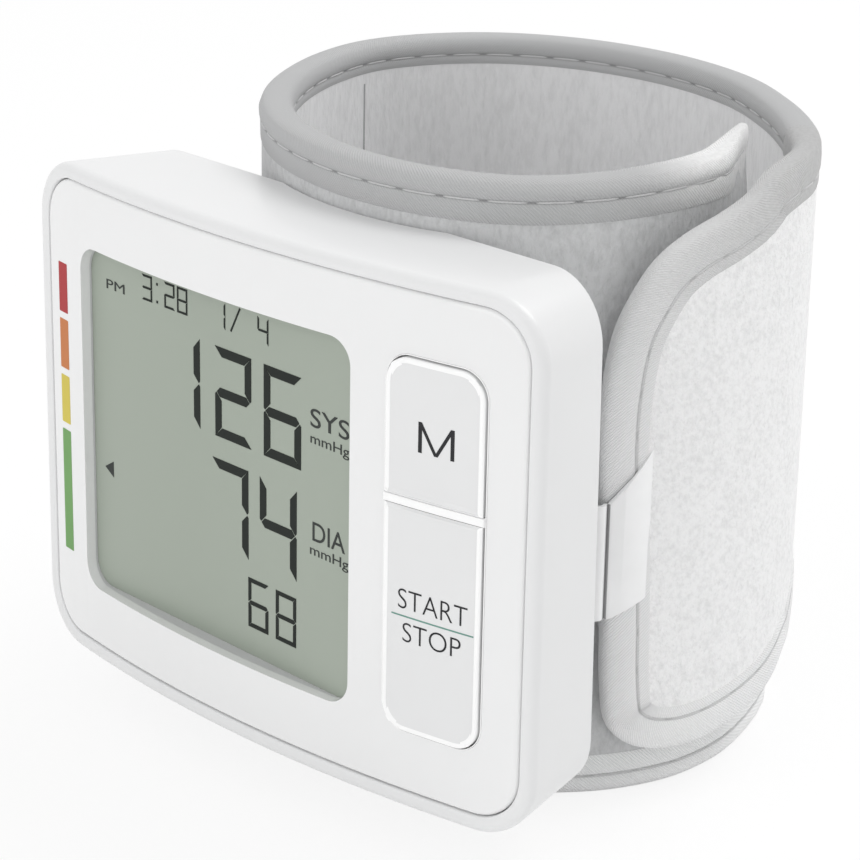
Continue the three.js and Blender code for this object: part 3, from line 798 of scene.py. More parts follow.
def twill(name, colour, groove, start_tint=None, painted_lit_fold=None):
    """Edge tape with fine slanting ribs and a thin shadow in the groove of its stitches.

    A tinted start is given as the lengths between which its patches of a darker and a paler grey
    fade out along the tape, and a painted highlight along the fold over the edge as the distances
    from the edge between which it fades out, and its grey.
    """
    material, tree = new_material(name)
    uv = add_node(tree, "ShaderNodeTexCoord", {}, "UV")
    along = add_node(tree, "ShaderNodeSeparateXYZ", {"Vector": uv}, "Y")
    inwards = along.node.outputs["X"]
    slanted = add_node(tree, "ShaderNodeMapping", {
        "Vector": uv, "Rotation": (0, 0, -RIB_SLANT),
    })
    wave = add_node(tree, "ShaderNodeTexWave", {
        "Vector": slanted, "Scale": 1.1, "Distortion": 0.9, "Detail": 2.0, "Detail Scale": 1.5,
    }, "Fac")
    tint = ramp(tree, wave, ((0.1, darker(colour, 0.9)), (0.9, colour)))
    # Painted highlight: a paler grey along the fold over the edge, fading out inwards.
    if painted_lit_fold:
        start, end, pale = painted_lit_fold
        tint = mix_colours(tree, fade(tree, inwards, start, end), (*grey(pale), 1), tint)
    across = add_node(tree, "ShaderNodeMapRange", {
        "Value": inwards, "From Min": groove - GROOVE_REACH, "From Max": groove + GROOVE_REACH,
    })
    shadow = ramp(tree, across, (
        (0.2, grey(1)), (0.45, grey(0.6)), (0.58, grey(0.6)), (0.8, grey(1)),
    ))
    tint = mix_colours(tree, 1.0, tint, shadow, "MULTIPLY")
    # Patches of a darker and a paler grey at the start of the tape, fading out along it.
    if start_tint:
        start, end, dark, pale = start_tint
        patches = noise(tree, uv, scale=1.6, detail=4.0)
        start_tones = ramp(tree, patches, ((0.3, grey(dark)), (0.7, grey(pale))))
        tint = mix_colours(tree, fade(tree, along, start, end), start_tones, tint)
    shade(tree, {
        "Base Color": tint,
        "Roughness": 0.85,
        "Sheen Weight": 0.15,
        "Specular IOR Level": 0.2,
        "Normal": bump(tree, wave, depth=0.05),
    })
    return material


# The shell is set a little darker than the fascia, painted shade for the sides of the case.
case_gloss = moulded_gloss("white_case_gloss", (0.78, 0.783, 0.786), 0.34, coat=0.12)
fascia_gloss = moulded_gloss("white_fascia_gloss", (0.83, 0.832, 0.834), 0.16, coat=0.5)
window_wall = plain_finish("pale_window_wall", (0.60, 0.60, 0.61), 0.45, grain=900, depth=0.02)
key_gloss = moulded_gloss("clear_key_gloss", (0.77, 0.773, 0.776), 0.12, coat=0.6)
# The key rims' white is lighter than the keys, a painted highlight where their bevel catches the
# light.
key_rim_highlight = moulded_gloss("key_rim_painted_highlight", (0.96, 0.96, 0.96), 0.1, coat=0.6)
key_ink = plain_finish("dark_grey_ink", (0.035, 0.035, 0.038), 0.5, shine=0.1)
line_ink = plain_finish("green_grey_ink", (0.16, 0.32, 0.27), 0.5, shine=0.1)
display_glass = display_finish()
display_ink = plain_finish("display_ink", (0.022, 0.026, 0.023), 0.5, shine=0.1)
mark_ink = plain_finish("faded_display_ink", (0.05, 0.055, 0.052), 0.5, shine=0.1)
stripe_finishes = {
    "red": plain_finish("bar_red", (0.42, 0.05, 0.055), 0.4, shine=0.1),
    "orange": plain_finish("bar_orange", (0.58, 0.21, 0.08), 0.4, shine=0.1),
    "yellow": plain_finish("bar_yellow", (0.66, 0.55, 0.10), 0.4, shine=0.1),
    "green": plain_finish("bar_green", (0.18, 0.37, 0.13), 0.4, shine=0.1),
}
loop_fleece = fleece("loop_fleece", (0.95, 0.95, 0.953), 0.88, 1500, 0.45)
brushed_fleece = fleece("brushed_fleece", (0.64, 0.645, 0.65), 0.84, 1500, 0.4, (1, 1, 0.5))
soft_lining = fleece("soft_lining", (0.83, 0.83, 0.835), 0.9, 1300, 0.35, (1, 1, 0.3))
# The grey tape's start is paler and the pale tape's start darker, in patches that fade out along them.
# The lower tape's pale grey is partly its own colour and partly painted light from the floor below,
# and its fold along the bottom edge carries a painted highlight.
edge_tape = twill("edge_tape", (0.51, 0.513, 0.517), 3.9, start_tint=(9.0, 22.0, 0.76, 0.88))
lower_tape = twill("lower_edge_tape", (0.9, 0.903, 0.906), 3.9, painted_lit_fold=(1.6, 3.6, 0.9))
pale_tape = twill("pale_edge_tape", (0.87, 0.872, 0.875), 5.4, start_tint=(2.0, 62.0, 0.44, 0.52))
seam_shade = plain_finish("seam_shade", (0.42, 0.42, 0.425), 0.8, shine=0.1)
ribbon = plain_finish("satin_ribbon", (0.93, 0.932, 0.935), 0.3)
# Painted shade for the creases of the ribbon's fold.
tab_crease_shade = plain_finish("ribbon_crease_shade", (0.36, 0.36, 0.365), 0.5, shine=0.2)
thread = plain_finish("pale_thread", (0.60, 0.60, 0.605), 0.6, shine=0.2)
hook_tape = plain_finish("hook_tape", (0.7, 0.71, 0.72), 0.7, grain=2500, depth=0.3)
inner_white = plain_finish("inner_white", (0.72, 0.73, 0.74), 0.5)
board_green = plain_finish("board_green", (0.03, 0.14, 0.06), 0.45)
dark_plastic = plain_finish("dark_plastic", (0.03, 0.032, 0.035), 0.5)
cell_foil = plain_finish("cell_foil", (0.42, 0.46, 0.5), 0.4, metallic=0.4)
plated_metal = plain_finish("plated_metal", (0.6, 0.61, 0.62), 0.28, metallic=1.0)
clear_film = plain_finish("clear_film", (0.6, 0.63, 0.66), 0.35)


# Camera, floor and light

def camera():
    data = bpy.data.cameras.new("camera")
    data.sensor_width = SENSOR_WIDTH
    data.lens = SENSOR_WIDTH * FOCAL_PIXELS / IMAGE_WIDTH
    data.clip_start = CLIP_START * MM
    viewer = bpy.data.objects.new("camera", data)
    right = CAMERA_FORWARD.cross(CAMERA_UP).normalized()
    up = right.cross(CAMERA_FORWARD).normalized()
    turn = Matrix((right, up, -CAMERA_FORWARD)).transposed().to_4x4()
    viewer.matrix_world = Matrix.Translation(CAMERA_PLACE) @ turn
    bpy.context.collection.objects.link(viewer)
    bpy.context.scene.camera = viewer


def floor():
    only()
    bpy.ops.mesh.primitive_plane_add(size=FLOOR_SIZE * MM, location=(0, 0, -FLOOR_DROP * MM))
    ground = bpy.context.object
    ground.name = "floor"
    material, tree = new_material("pale_floor")
    shade(tree, {"Base Color": (0.95, 0.95, 0.95, 1), "Roughness": 0.9})
    lit = tree.nodes["Principled BSDF"].outputs["BSDF"]
    glow = add_node(tree, "ShaderNodeEmission", {"Color": WHITE, "Strength": 1.0})
    share = compute(tree, "MULTIPLY", seen_directly(tree), FLOOR_GLOW_SHARE)
    set_inputs(tree.nodes["Material Output"], {"Surface": mix_shaders(tree, share, lit, glow)})
    ground.data.materials.append(material)


def surroundings():
    """A pale studio, a little dimmer to the left and right than in front and above."""
    scene = bpy.context.scene
    scene.view_settings.view_transform = "Standard"
    scene.world = scene.world or bpy.data.worlds.new("world")
    scene.world.use_nodes = True
    tree = scene.world.node_tree
    way = add_node(tree, "ShaderNodeTexCoord", {}, "Generated")
    sideways = add_node(tree, "ShaderNodeSeparateXYZ", {"Vector": way}, "X")
    strength = add_node(tree, "ShaderNodeMapRange", {
        "Value": compute(tree, "ABSOLUTE", sideways),
        "To Min": WORLD_AHEAD,
        "To Max": WORLD_BESIDE,
    })
    lit, seen = (
        add_node(tree, "ShaderNodeBackground", {"Color": WHITE, "Strength": level})
        for level in (strength, 1.0)
    )
    world = mix_shaders(tree, seen_directly(tree), lit, seen)
    set_inputs(tree.nodes["World Output"], {"Surface": world})


def lamp(name, place, target, size, power):
    data = bpy.data.lights.new(name, "AREA")
    data.shape = "RECTANGLE"
    data.size, data.size_y = size
    data.energy = power
    light = bpy.data.objects.new(name, data)
    light.location = place
    aim = Vector(target) - Vector(place)
    light.rotation_euler = aim.to_track_quat("-Z", "Y").to_euler()
    bpy.context.collection.objects.link(light)


# Case

def box_round(x, z, width, height):
    """The left, right, bottom and top of a box round its middle."""
    return x - width / 2, x + width / 2, z - height / 2, z + height / 2


FACE_BOX = laid_box(box_round(0, 0, CASE_WIDTH, CASE_HEIGHT))
WINDOW_BOX = box_round(WINDOW_X, WINDOW_Z, WINDOW_WIDTH, WINDOW_HEIGHT)
KEY_BOX = laid_box(box_round(KEY_X, KEY_Z, KEY_WIDTH, KEY_BANK_HEIGHT))


def boxed(name, box, corner, grown, front=-PAST, back=CUTTER_BACK, segments=12):
    """A block that fills a box grown on all four sides, its corners rounded as seen from the front."""
    left, right, bottom, top = box
    piece = block(name, left - grown, right + grown, front, back, bottom - grown, top + grown)
    round_edges(piece, along_depth, corner + grown, segments)
    return piece


def window_block(name, grown, *depths):
    return boxed(name, WINDOW_BOX, WINDOW_CORNER, grown, *depths)


def key_bank_block(name, grown, *depths):
    return boxed(name, KEY_BOX, KEY_CORNER, grown, *depths)


def within_seat(place):
    """Whether a place on the front lies inside the lip."""
    left, right, bottom, top = FACE_BOX
    x = max(0, left + CASE_CORNER - place.x, place.x - right + CASE_CORNER)
    z = max(0, bottom + CASE_CORNER - place.z, place.z - top + CASE_CORNER)
    return math.hypot(x, z) < CASE_CORNER - CASE_WALL / 2


def cuff_space():
    """What the cuff takes from the back of the case, a little larger all round."""
    inner = -CUFF_THICKNESS / 2 - GAP
    height = SPACE_HALF_HEIGHT
    profile = poly_curve("space_profile", [
        (inner, -height), (SPACE_OUTER, -height), (SPACE_OUTER, height), (inner, height),
    ], True)
    line = [point for point in cuff_line if point.y < CUFF_Y]
    return swept("cuff_space", poly_curve("space_path", even_steps(line, SPACE_STEP)), profile)


def cover_seat(draft):
    width = (CASE_WIDTH - 2 * CASE_WALL) * COVER_WIDTH_SHARE
    height = (CASE_HEIGHT - 2 * CASE_WALL) * draft
    return boxed(
        "cover_seat", box_round(0, 0, width, height), CASE_CORNER - CASE_WALL, 0,
        CASE_DEPTH - COVER_SEAT, CASE_DEPTH + REACH, segments=10,
    )


def charging_port():
    box = box_round(0, 0, PORT_WIDTH, PORT_HEIGHT)
    port = boxed("port_cut", box, PORT_CORNER, 0, 0, REACH + PORT_DEPTH, segments=6)
    turn_by(port, 0, 0, -QUARTER_TURN)
    move_by(port, -CASE_WIDTH / 2 - REACH, PORT_Y, PORT_Z)
    return port


def front_shell():
    half_width = CASE_WIDTH / 2
    half_height = CASE_HEIGHT / 2
    shell = boxed("front_shell", FACE_BOX, CASE_CORNER, 0, 0, CASE_DEPTH + PAST, segments=14)
    draft = 1 - TOP_DRAFT / half_height
    work_on(shell, "VERT", lambda place: place.y > CASE_DEPTH / 2, lambda: (
        bpy.ops.transform.resize(value=(1, 1, draft), center_override=(0, 0, 0))
    ))
    work_on(
        shell, "FACE", faces_front,
        lambda: bpy.ops.mesh.inset(thickness=CASE_WALL * MM, depth=0),
        lambda: bpy.ops.mesh.inset(thickness=0, depth=-(FASCIA_THICKNESS + GAP) * MM),
    )
    work_on(
        shell, "VERT",
        lambda place: not within_seat(place) and place.x < 2 * CASE_CORNER - half_width,
        lambda: bpy.ops.transform.translate(value=(-LIP_SPREAD * MM, 0, 0)),
    )
    work_on(
        shell, "VERT",
        lambda place: (
            not within_seat(place) and place.y < CASE_DEPTH / 2
            and place.z < 2 * CASE_CORNER - half_height
        ),
        lambda: bpy.ops.transform.translate(value=(0, 0, -LOWER_SPREAD * MM)),
    )
    round_edges(
        shell, lambda a, b: on_front(a, b) and not (within_seat(a) or within_seat(b)), CASE_EDGE, 6,
    )
    round_edges(
        shell, lambda a, b: on_front(a, b) and within_seat(a) and within_seat(b), LIP_EDGE, 3,
    )
    score(shell)
    bow(shell)
    slice_off(shell, (-half_width, CASE_DEPTH + REAR_RIM, 0), (-REAR_SLANT, 1, REAR_RAKE))
    cut_out(shell, cover_seat(draft))
    cut_out(shell, window_block("window_cut", WINDOW_SKIRT + GAP, -PAST, CASE_DEPTH - REACH))
    cut_out(shell, charging_port())
    cut_out(shell, cuff_space())
    smooth(shell, SMOOTH_CASE)
    settle(shell, case_gloss, "case_white", "case", "front_shell")


def fascia():
    plate = boxed("fascia", FACE_BOX, CASE_CORNER, -CASE_WALL - LIP_GAP, 0, FASCIA_THICKNESS)
    round_edges(plate, on_front, FASCIA_EDGE, 4)
    cut_out(plate, key_bank_block("key_cut", GAP))
    cut_out(plate, window_block("window_cut", 0))
    score(plate)
    bow(plate)
    smooth(plate, SMOOTH_CASE)
    settle(plate, fascia_gloss, "case_white", "case", "fascia")


def window_skirt():
    """The wall round the window, down to the display."""
    skirt = window_block(
        "window_skirt", WINDOW_SKIRT, FASCIA_THICKNESS / 2, DISPLAY_FACE + SHORT_PAST,
    )
    cut_out(skirt, window_block("skirt_cut", SKIRT_OPENING))
    score(skirt)
    bow(skirt)
    slice_off(skirt, (0, DISPLAY_FACE - SKIRT_TRIM, 0), (0, 1, 0))
    smooth(skirt, SMOOTH_CASE)
    settle(skirt, window_wall, "case_white", "case")


# Display

def printed(name, box, face=DISPLAY_FACE, thickness=BAR_THICKNESS):
    """A thin block let halfway into a face."""
    left, right, bottom, top = box
    return block(name, left, right, face - thickness, face + thickness, bottom, top)


def display_panel():
    panel = window_block(
        "display_glass", GAP, DISPLAY_FACE, DISPLAY_FACE + DISPLAY_THICKNESS - GAP,
    )
    smooth(panel, SMOOTH_CASE)
    settle(panel, display_glass, "display_glass", "case", "display_panel")


def figure_bar(letter, width, height, stroke):
    """One bar of a figure with its ends cut to mitres, at the lower left of its cell."""
    slit = stroke * BAR_SLIT_SHARE
    point = stroke * BAR_POINT_SHARE
    middle = height / 2
    if letter in "ad":
        bottom = height - stroke if letter == "a" else 0
        tip = height if letter == "a" else 0
        lean = -1 if letter == "a" else 1
        bar = printed("bar", (0, width, bottom, bottom + stroke))
        slice_off(bar, (slit, 0, tip), (-1, 0, lean))
        slice_off(bar, (width - slit, 0, tip), (1, 0, lean))
    elif letter == "g":
        bar = printed("bar", (0, width, middle - stroke / 2, middle + stroke / 2))
        for lean in (-1, 1):
            slice_off(bar, (point + slit, 0, middle), (-1, 0, lean))
            slice_off(bar, (width - point - slit, 0, middle), (1, 0, lean))
    else:
        left = letter in "ef"
        upper = letter in "bf"
        low = middle if upper else 0
        outer = 0 if left else width
        inward = 1 if left else -1
        rise = 1 if upper else -1
        sides = (0, stroke) if left else (width - stroke, width)
        bar = printed("bar", (*sides, low, low + middle))
        slice_off(bar, (outer, 0, height - slit if upper else slit), (inward, 0, rise))
        inner_end = (outer + inward * point, 0, middle + rise * slit)
        slice_off(bar, inner_end, (inward, 0, -rise))
        slice_off(bar, inner_end, (-inward, 0, -rise))
    return bar


def display_figures():
    masters = {}
    bars = []
    for cell, foot, figures in FIGURE_ROWS:
        for digit, left in figures:
            for letter in FIGURE_BARS[digit]:
                if (letter, cell) not in masters:
                    masters[letter, cell] = figure_bar(letter, *cell)
                bar = copy_of(masters[letter, cell], "figure_bar")
                move_by(bar, left, 0, foot)
                bars.append(bar)
    for height in COLON_HEIGHTS:
        bars.append(printed("dot", (
            COLON_X - DOT_HALF, COLON_X + DOT_HALF, height - DOT_HALF, height + DOT_HALF,
        )))
    slash = printed("slash", (
        -SLASH_HALF_WIDTH, SLASH_HALF_WIDTH, -SLASH_HALF_LENGTH, SLASH_HALF_LENGTH,
    ))
    turn_by(slash, 0, SLASH_LEAN, 0)
    move_by(slash, SLASH_X, 0, SLASH_Z)
    bars.append(slash)
    for master in masters.values():
        bpy.data.objects.remove(master)
    settle(merge_pieces("display_figures", bars), display_ink, "display_glass", "case")


def display_arrow():
    arrow = printed("display_arrow", (
        ARROW_X, ARROW_X + ARROW_LENGTH, ARROW_Z - ARROW_HALF, ARROW_Z + ARROW_HALF,
    ))
    for side in (1, -1):
        slice_off(arrow, (ARROW_X, 0, ARROW_Z), (-ARROW_HALF / ARROW_LENGTH, 0, side))
    settle(arrow, mark_ink, "display_glass", "case")


def lettering(name, words, box, face=DISPLAY_FACE, thickness=BAR_THICKNESS, offset=0):
    """Words as a thin raised print that fills a box on the front, laid out flat."""
    only()
    bpy.ops.object.text_add(location=(0, 0, 0))
    text = bpy.context.object
    text.name = name
    text.data.body = words
    text.data.extrude = TEXT_DEPTH
    text.data.offset = offset
    text.data.resolution_u = 6
    bpy.ops.object.convert(target="MESH")
    face_outwards(text)
    turn_by(text, QUARTER_TURN, 0, 0)
    low, high = extent(text)
    left, right, bottom, top = box
    size = (right - left, 2 * thickness, top - bottom)
    text.scale = [size[i] / (high - low)[i] for i in range(3)]
    text.location = (Vector((left, face - thickness, bottom)) - low * text.scale) * MM
    apply_transform(text)
    return text


def display_marks():
    for name, words, box in DISPLAY_MARKS:
        settle(lettering(name, words, box), mark_ink, "display_glass", "case")


def colour_stripes():
    for name, bottom, top in STRIPES:
        stripe = block(
            f"{name}_stripe", laid(STRIPE_LEFT), laid(STRIPE_RIGHT), -STRIPE_PROUD, STRIPE_INLAY,
            bottom, top,
        )
        round_edges(stripe, along_depth, STRIPE_CORNER, 2)
        bow(stripe)
        settle(stripe, stripe_finishes[name], "case_white", "case")


# Keys

def edge_distance(place, left, right, outer):
    """How far a place on a key lies from its sides and its rounded end."""
    across = min(place.x - left, right - place.x)
    in_from_end = abs(outer - place.z)
    if across < KEY_CORNER and in_from_end < KEY_CORNER:
        return KEY_CORNER - math.hypot(KEY_CORNER - across, KEY_CORNER - in_from_end)
    return min(across, in_from_end)


def key(name, bottom, top, round_top, node):
    left, right, *_ = KEY_BOX
    cap = block(name, left, right, -KEY_PROUD, FASCIA_THICKNESS + GAP, bottom, top)
    side = 1 if round_top else -1
    middle = (bottom + top) / 2

    def on_rim(place):
        margins = (place.x - left, right - place.x, place.z - bottom, top - place.z)
        return place.y < NEARLY - KEY_PROUD and min(margins) < KEY_RIM_REACH

    round_edges(
        cap, lambda a, b: along_depth(a, b) and (a.z - middle) * side > 0, KEY_CORNER, 10,
    )
    work_on(
        cap, "FACE", faces_front,
        lambda: bpy.ops.mesh.inset(thickness=KEY_RIM * KEY_RIM_FLAT_SHARE * MM, depth=0),
        lambda: bpy.ops.mesh.inset(
            thickness=KEY_RIM * (1 - KEY_RIM_FLAT_SHARE) * MM, depth=-KEY_SINK * MM,
        ),
    )
    round_edges(cap, lambda a, b: on_rim(a) and on_rim(b), KEY_EDGE, 3)
    score(cap)
    outer = top if round_top else bottom
    # The rim faces take the lighter white, a painted highlight of the bevel.
    rim = [
        polygon.index for polygon in cap.data.polygons
        if polygon.center.y / MM < KEY_SINK
        and edge_distance(polygon.center / MM, left, right, outer) < KEY_RIM_REACH
    ]
    bow(cap)
    smooth(cap, SMOOTH_CASE)
    settle(cap, key_gloss, "case_white", node, node)
    repaint(cap, rim, key_rim_highlight)


def keys():
    *_, bottom, top = KEY_BOX
    reach = KEY_BAR / 2 + GAP
    key("memory_key", KEY_SPLIT + reach, top, True, "memory_button")
    key("start_stop_key", bottom, KEY_SPLIT - reach, False, "start_stop_button")


def key_frame():
    """A bright ring round the keys, with a bar between them that stands level with their rims."""
    ring = key_bank_block("key_frame", GAP - FRAME_SLACK, -FRAME_PROUD, FASCIA_THICKNESS)
    round_edges(ring, on_front, FRAME_PROUD / 2, 2)
    cut_out(ring, key_bank_block("key_hole", KEY_SIDE_SLACK))
    score(ring)
    left, right, *_ = KEY_BOX
    side = KEY_SIDE_SLACK + FRAME_SLACK
    reach = KEY_BAR / 2 + GAP - KEY_SLACK
    bar = block(
        "key_bar", left - side, right + side, KEY_SLACK - KEY_PROUD, FASCIA_THICKNESS,
        KEY_SPLIT - reach, KEY_SPLIT + reach,
    )
    round_edges(bar, on_front, FRAME_PROUD, 3)
    score(bar)
    ring = merge_pieces("key_frame", [ring, bar])
    bow(ring)
    smooth(ring, SMOOTH_CASE)
    # The ring and bar take the rims' lighter white, which is partly a painted highlight.
    settle(ring, key_rim_highlight, "case_white", "case")


def key_print(name, box):
    return printed(name, box, KEY_FACE, PRINT_THICKNESS)


def letter_m(box, stroke):
    """The letter M with upright legs, as a thin print on the key, laid out flat."""
    left, right, bottom, top = box
    bars = [
        key_print("leg", (left, left + stroke, bottom, top)),
        key_print("leg", (right - stroke, right, bottom, top)),
    ]
    slope_left = (left + right) / 2 - stroke / 2
    for side in (-1, 1):
        slope = key_print("slope", (0, stroke * MEMORY_SLOPE_SHARE, bottom, top))
        move_by(slope, slope_left, 0, 0)
        for vertex in slope.data.vertices:
            share = (vertex.co.z / MM - bottom) / (top - bottom)
            vertex.co.x += side * (slope_left - left) * share * MM
        bars.append(slope)
    return merge_pieces("memory_mark", bars)


def key_marks():
    mark = letter_m(laid_box(MEMORY_MARK), MEMORY_STROKE)
    score(mark, MEMORY_SPACING)
    bow(mark)
    settle(mark, key_ink, "case_white", "memory_button")
    for name, words, box in KEY_WORDS:
        mark = lettering(
            name, words, laid_box(box), KEY_FACE, PRINT_THICKNESS, KEY_WORD_THINNING,
        )
        bow(mark)
        settle(mark, key_ink, "case_white", "start_stop_button")
    line = key_print("start_stop_line", laid_box(KEY_LINE))
    score(line)
    bow(line)
    settle(line, line_ink, "case_white", "start_stop_button")


# Route of the cuff seen from above

cuff_line = catmull_rom([
    (CUFF_X + x * CUFF_HALF_WIDTH, CUFF_Y + y * CUFF_HALF_DEPTH) for x, y in CUFF_PATH_SHARES
])
cuff_lengths = lengths_along(cuff_line)
cuff_route = poly_curve("cuff_route", even_steps(cuff_line, ROUTE_STEP))
CUFF_LENGTH = cuff_lengths[-1]
HINGE_ALONG = HINGE_SHARE * CUFF_LENGTH
NECK_ALONG = NECK_SHARE * CUFF_LENGTH
JOIN_ALONG = HINGE_ALONG - JOIN_BEFORE_HINGE


def cuff_point(along):
    for index, length in enumerate(cuff_lengths[1:]):
        if length >= along:
            share = (along - cuff_lengths[index]) / (length - cuff_lengths[index])
            return cuff_line[index].lerp(cuff_line[index + 1], share)
    return cuff_line[-1]


def along_where(start, end, measure, target):
    """The length along the cuff at which a measure that falls or rises steadily meets a target."""
    rising = measure(cuff_point(end)) > measure(cuff_point(start))
    for _ in range(30):
        middle = (start + end) / 2
        if (measure(cuff_point(middle)) < target) == rising:
            start = middle
        else:
            end = middle
    return start


# Edges of the cuff and the flap. Cuff pieces are laid out flat, x along the cuff, y outwards and
# z up, and then wrapped. Edges are drawn with z as their second number.

def neck_edge():
    """The lower edge from the flap back past the waist to the full width of the cuff."""
    left, waist, right = (
        cuff_point(share * CUFF_LENGTH).x for share in (NECK_SHARE, WAIST_SHARE, HINGE_SHARE)
    )
    points = []
    for start, end, low, high in (
        (left, waist, CUFF_BOTTOM, FLAP_WAIST), (waist, right, FLAP_WAIST, FLAP_ROOT),
    ):
        for step in range(NECK_POINTS):
            share = step / NECK_POINTS
            rise = (1 - math.cos(math.pi * share)) / 2
            x = start + (end - start) * share
            along = along_where(NECK_ALONG, HINGE_ALONG, lambda point: point.x, x)
            points.append(Vector((along, low + (high - low) * rise, 0)))
    points.append(Vector((HINGE_ALONG, FLAP_ROOT, 0)))
    return points[::-1]


def flap_edge():
    """The edge of the flap from the top, round the tip and back along the bottom."""
    hinge = cuff_point(HINGE_ALONG)
    points = []
    for share, height in FLAP_OUTLINE_SHARES:
        y = FLAP_TIP + share * (hinge.y - FLAP_TIP)
        along = along_where(HINGE_ALONG, CUFF_LENGTH, lambda point: point.y, y)
        points.append(Vector((along, height * CUFF_TOP, 0)))
    return points


neck_line = catmull_rom(neck_edge())
ring_top = [Vector((INNER_END, CUFF_TOP, 0)), Vector((JOIN_ALONG, CUFF_TOP, 0))]
ring_bottom = [
    *[point for point in neck_line if point.x < JOIN_ALONG],
    Vector((INNER_END, CUFF_BOTTOM, 0)),
]
flap_line = [
    Vector((JOIN_ALONG, CUFF_TOP, 0)),
    *catmull_rom([*flap_edge(), neck_edge()[0]]),
    *[point for point in neck_line if point.x >= JOIN_ALONG],
]


# Wrapping the cuff

def stand_up(piece):
    """Turns a piece from the cutting table, where it lies with its outer side down."""
    turn_by(piece, QUARTER_TURN, 0, 0)


def shape_inner_end(piece):
    """Draws the inner end of the cuff thin, slants it and lifts its upper corner."""
    for vertex in piece.data.vertices:
        x, y, z = vertex.co / MM
        near = 1 - smooth_step(x, INNER_END, INNER_END + INNER_END_REACH)
        drop = CUFF_TOP - z
        fold = min(END_FOLD_DROP, drop) * END_FOLD_SHARE
        slant = max(0, drop - END_FOLD_DROP) * END_SLANT_SHARE
        vertex.co.x += near * (fold - slant) * MM
        vertex.co.y *= 1 - END_THINNING_SHARE * near
        lift = smooth_step(z, CUFF_TOP - END_LIFT_DROP, CUFF_TOP) * END_LIFT
        vertex.co.z += near * lift * MM


def lean(piece):
    """Leans the cloth outwards on its way down, near the inner end of the cuff."""
    for vertex in piece.data.vertices:
        share = vertex.co.x / MM / CUFF_LENGTH
        reach = LEAN_REACH * smooth_step(share, LEAN_START_SHARE, LEAN_RISE_SHARE)
        reach *= 1 - smooth_step(share, LEAN_FALL_SHARE, LEAN_END_SHARE)
        down = (CUFF_TOP - vertex.co.z / MM) / (CUFF_TOP - CUFF_BOTTOM)
        vertex.co.y += reach * down * MM


def wrap(piece):
    shape_inner_end(piece)
    lean(piece)
    apply_modifier(piece, "CURVE", object=cuff_route, deform_axis="POS_X")


def thin(piece):
    """Draws the cloth in from the full thickness of the cuff to that of the flap."""
    for vertex in piece.data.vertices:
        share = smooth_step(vertex.co.x / MM, JOIN_ALONG, JOIN_ALONG + THINNING_REACH)
        vertex.co.y *= 1 + (FLAP_THICKNESS / CUFF_THICKNESS - 1) * share


def bend_with_flap(piece):
    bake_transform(piece)


def finish_cuff_piece(piece, degrees, material, slot, *nodes):
    wrap(piece)
    smooth(piece, degrees)
    settle(piece, material, slot, "case", *nodes)


def finish_flap_piece(piece, degrees, material, slot, *nodes):
    thin(piece)
    wrap(piece)
    smooth(piece, degrees)
    settle(piece, material, slot, None, *nodes)
    bend_with_flap(piece)


# Tapes and stitches

def tape_side(height, stitch, half):
    """One side of a tape: over the edge, drawn in at the stitches and flat beyond."""
    marks = {"edge": 0, "swell": stitch * SWELL_SHARE, "stitch": stitch, "rim": height}
    fold = [(x, half * share) for x, share in TAPE_FOLD]
    return fold + [(marks[mark] + x, half + y) for mark, x, y in TAPE_SECTION]


def tape_profile(height, stitch, thickness, inner_height):
    """The section of a tape, x inwards from the edge, its inner side up."""
    inner = tape_side(inner_height, stitch, thickness / 2)
    outer = tape_side(height, stitch, thickness / 2)
    return [*inner, *[(x, -y) for x, y in outer[:0:-1]]]


def tape(name, edge, height, stitch, inner_height):
    profile = tape_profile(height, stitch, CUFF_THICKNESS, inner_height)
    piece = swept(
        name, poly_curve("tape_path", even_steps(edge, TAPE_STEP)),
        poly_curve("tape_profile", profile, True),
    )
    stretch_map(piece, lengths_along(edge)[-1], profile)
    stand_up(piece)
    return piece


def stretch_map(piece, length, profile):
    """Sets the piece's own map to millimetres, from the edge round the tape and along it."""
    around = lengths_along([Vector(point) for point in [*profile, profile[0]]])
    for corner in piece.data.uv_layers[0].data:
        place = round(corner.uv.y * len(profile))
        corner.uv = (min(around[place], around[-1] - around[place]), corner.uv.x * length)


def stitch_row(name, line, lift):
    """A row of thread stitches that dip at their ends, on one side of the cloth."""
    count = int(lengths_along(line)[-1] / STITCH_PITCH)
    only()
    bpy.ops.mesh.primitive_cylinder_add(
        vertices=8, radius=THREAD_RADIUS * MM, depth=STITCH_LENGTH * MM,
        rotation=(0, QUARTER_TURN, 0),
    )
    row = bpy.context.object
    row.name = name
    apply_transform(row)
    round_edges(row, lambda a, b: abs(a.x - b.x) < NEARLY, THREAD_EDGE, 2)
    for place in STITCH_CUTS:
        cut_across(row, place)
    dip = math.copysign(STITCH_DIP, lift)
    work_on(row, "VERT", lambda place: abs(place.x) > STITCH_END, lambda: (
        bpy.ops.transform.translate(value=(0, 0, dip * MM))
    ))
    move_by(row, STITCH_PITCH / 2, 0, -lift)
    apply_modifier(
        row, "ARRAY", count=count, use_relative_offset=False, use_constant_offset=True,
        constant_offset_displace=(STITCH_PITCH * MM, 0, 0),
    )
    guide = poly_curve("stitch_guide", even_steps(line, THREAD_STEP))
    apply_modifier(row, "CURVE", object=guide, deform_axis="POS_X")
    bpy.data.objects.remove(guide)
    stand_up(row)
    return row


def stitch_rows(name, edge, drop, finish):
    line = offset_line(even_steps(edge, EDGE_STEP), drop)
    lift = CUFF_THICKNESS / 2 + STITCH_LIFT
    for side, height in (("outer", lift), ("inner", -lift)):
        row = stitch_row(f"{name}_{side}_stitches", line, height)
        finish(row, SMOOTH_THREAD, thread, "tape_grey")


# Pieces of the cuff

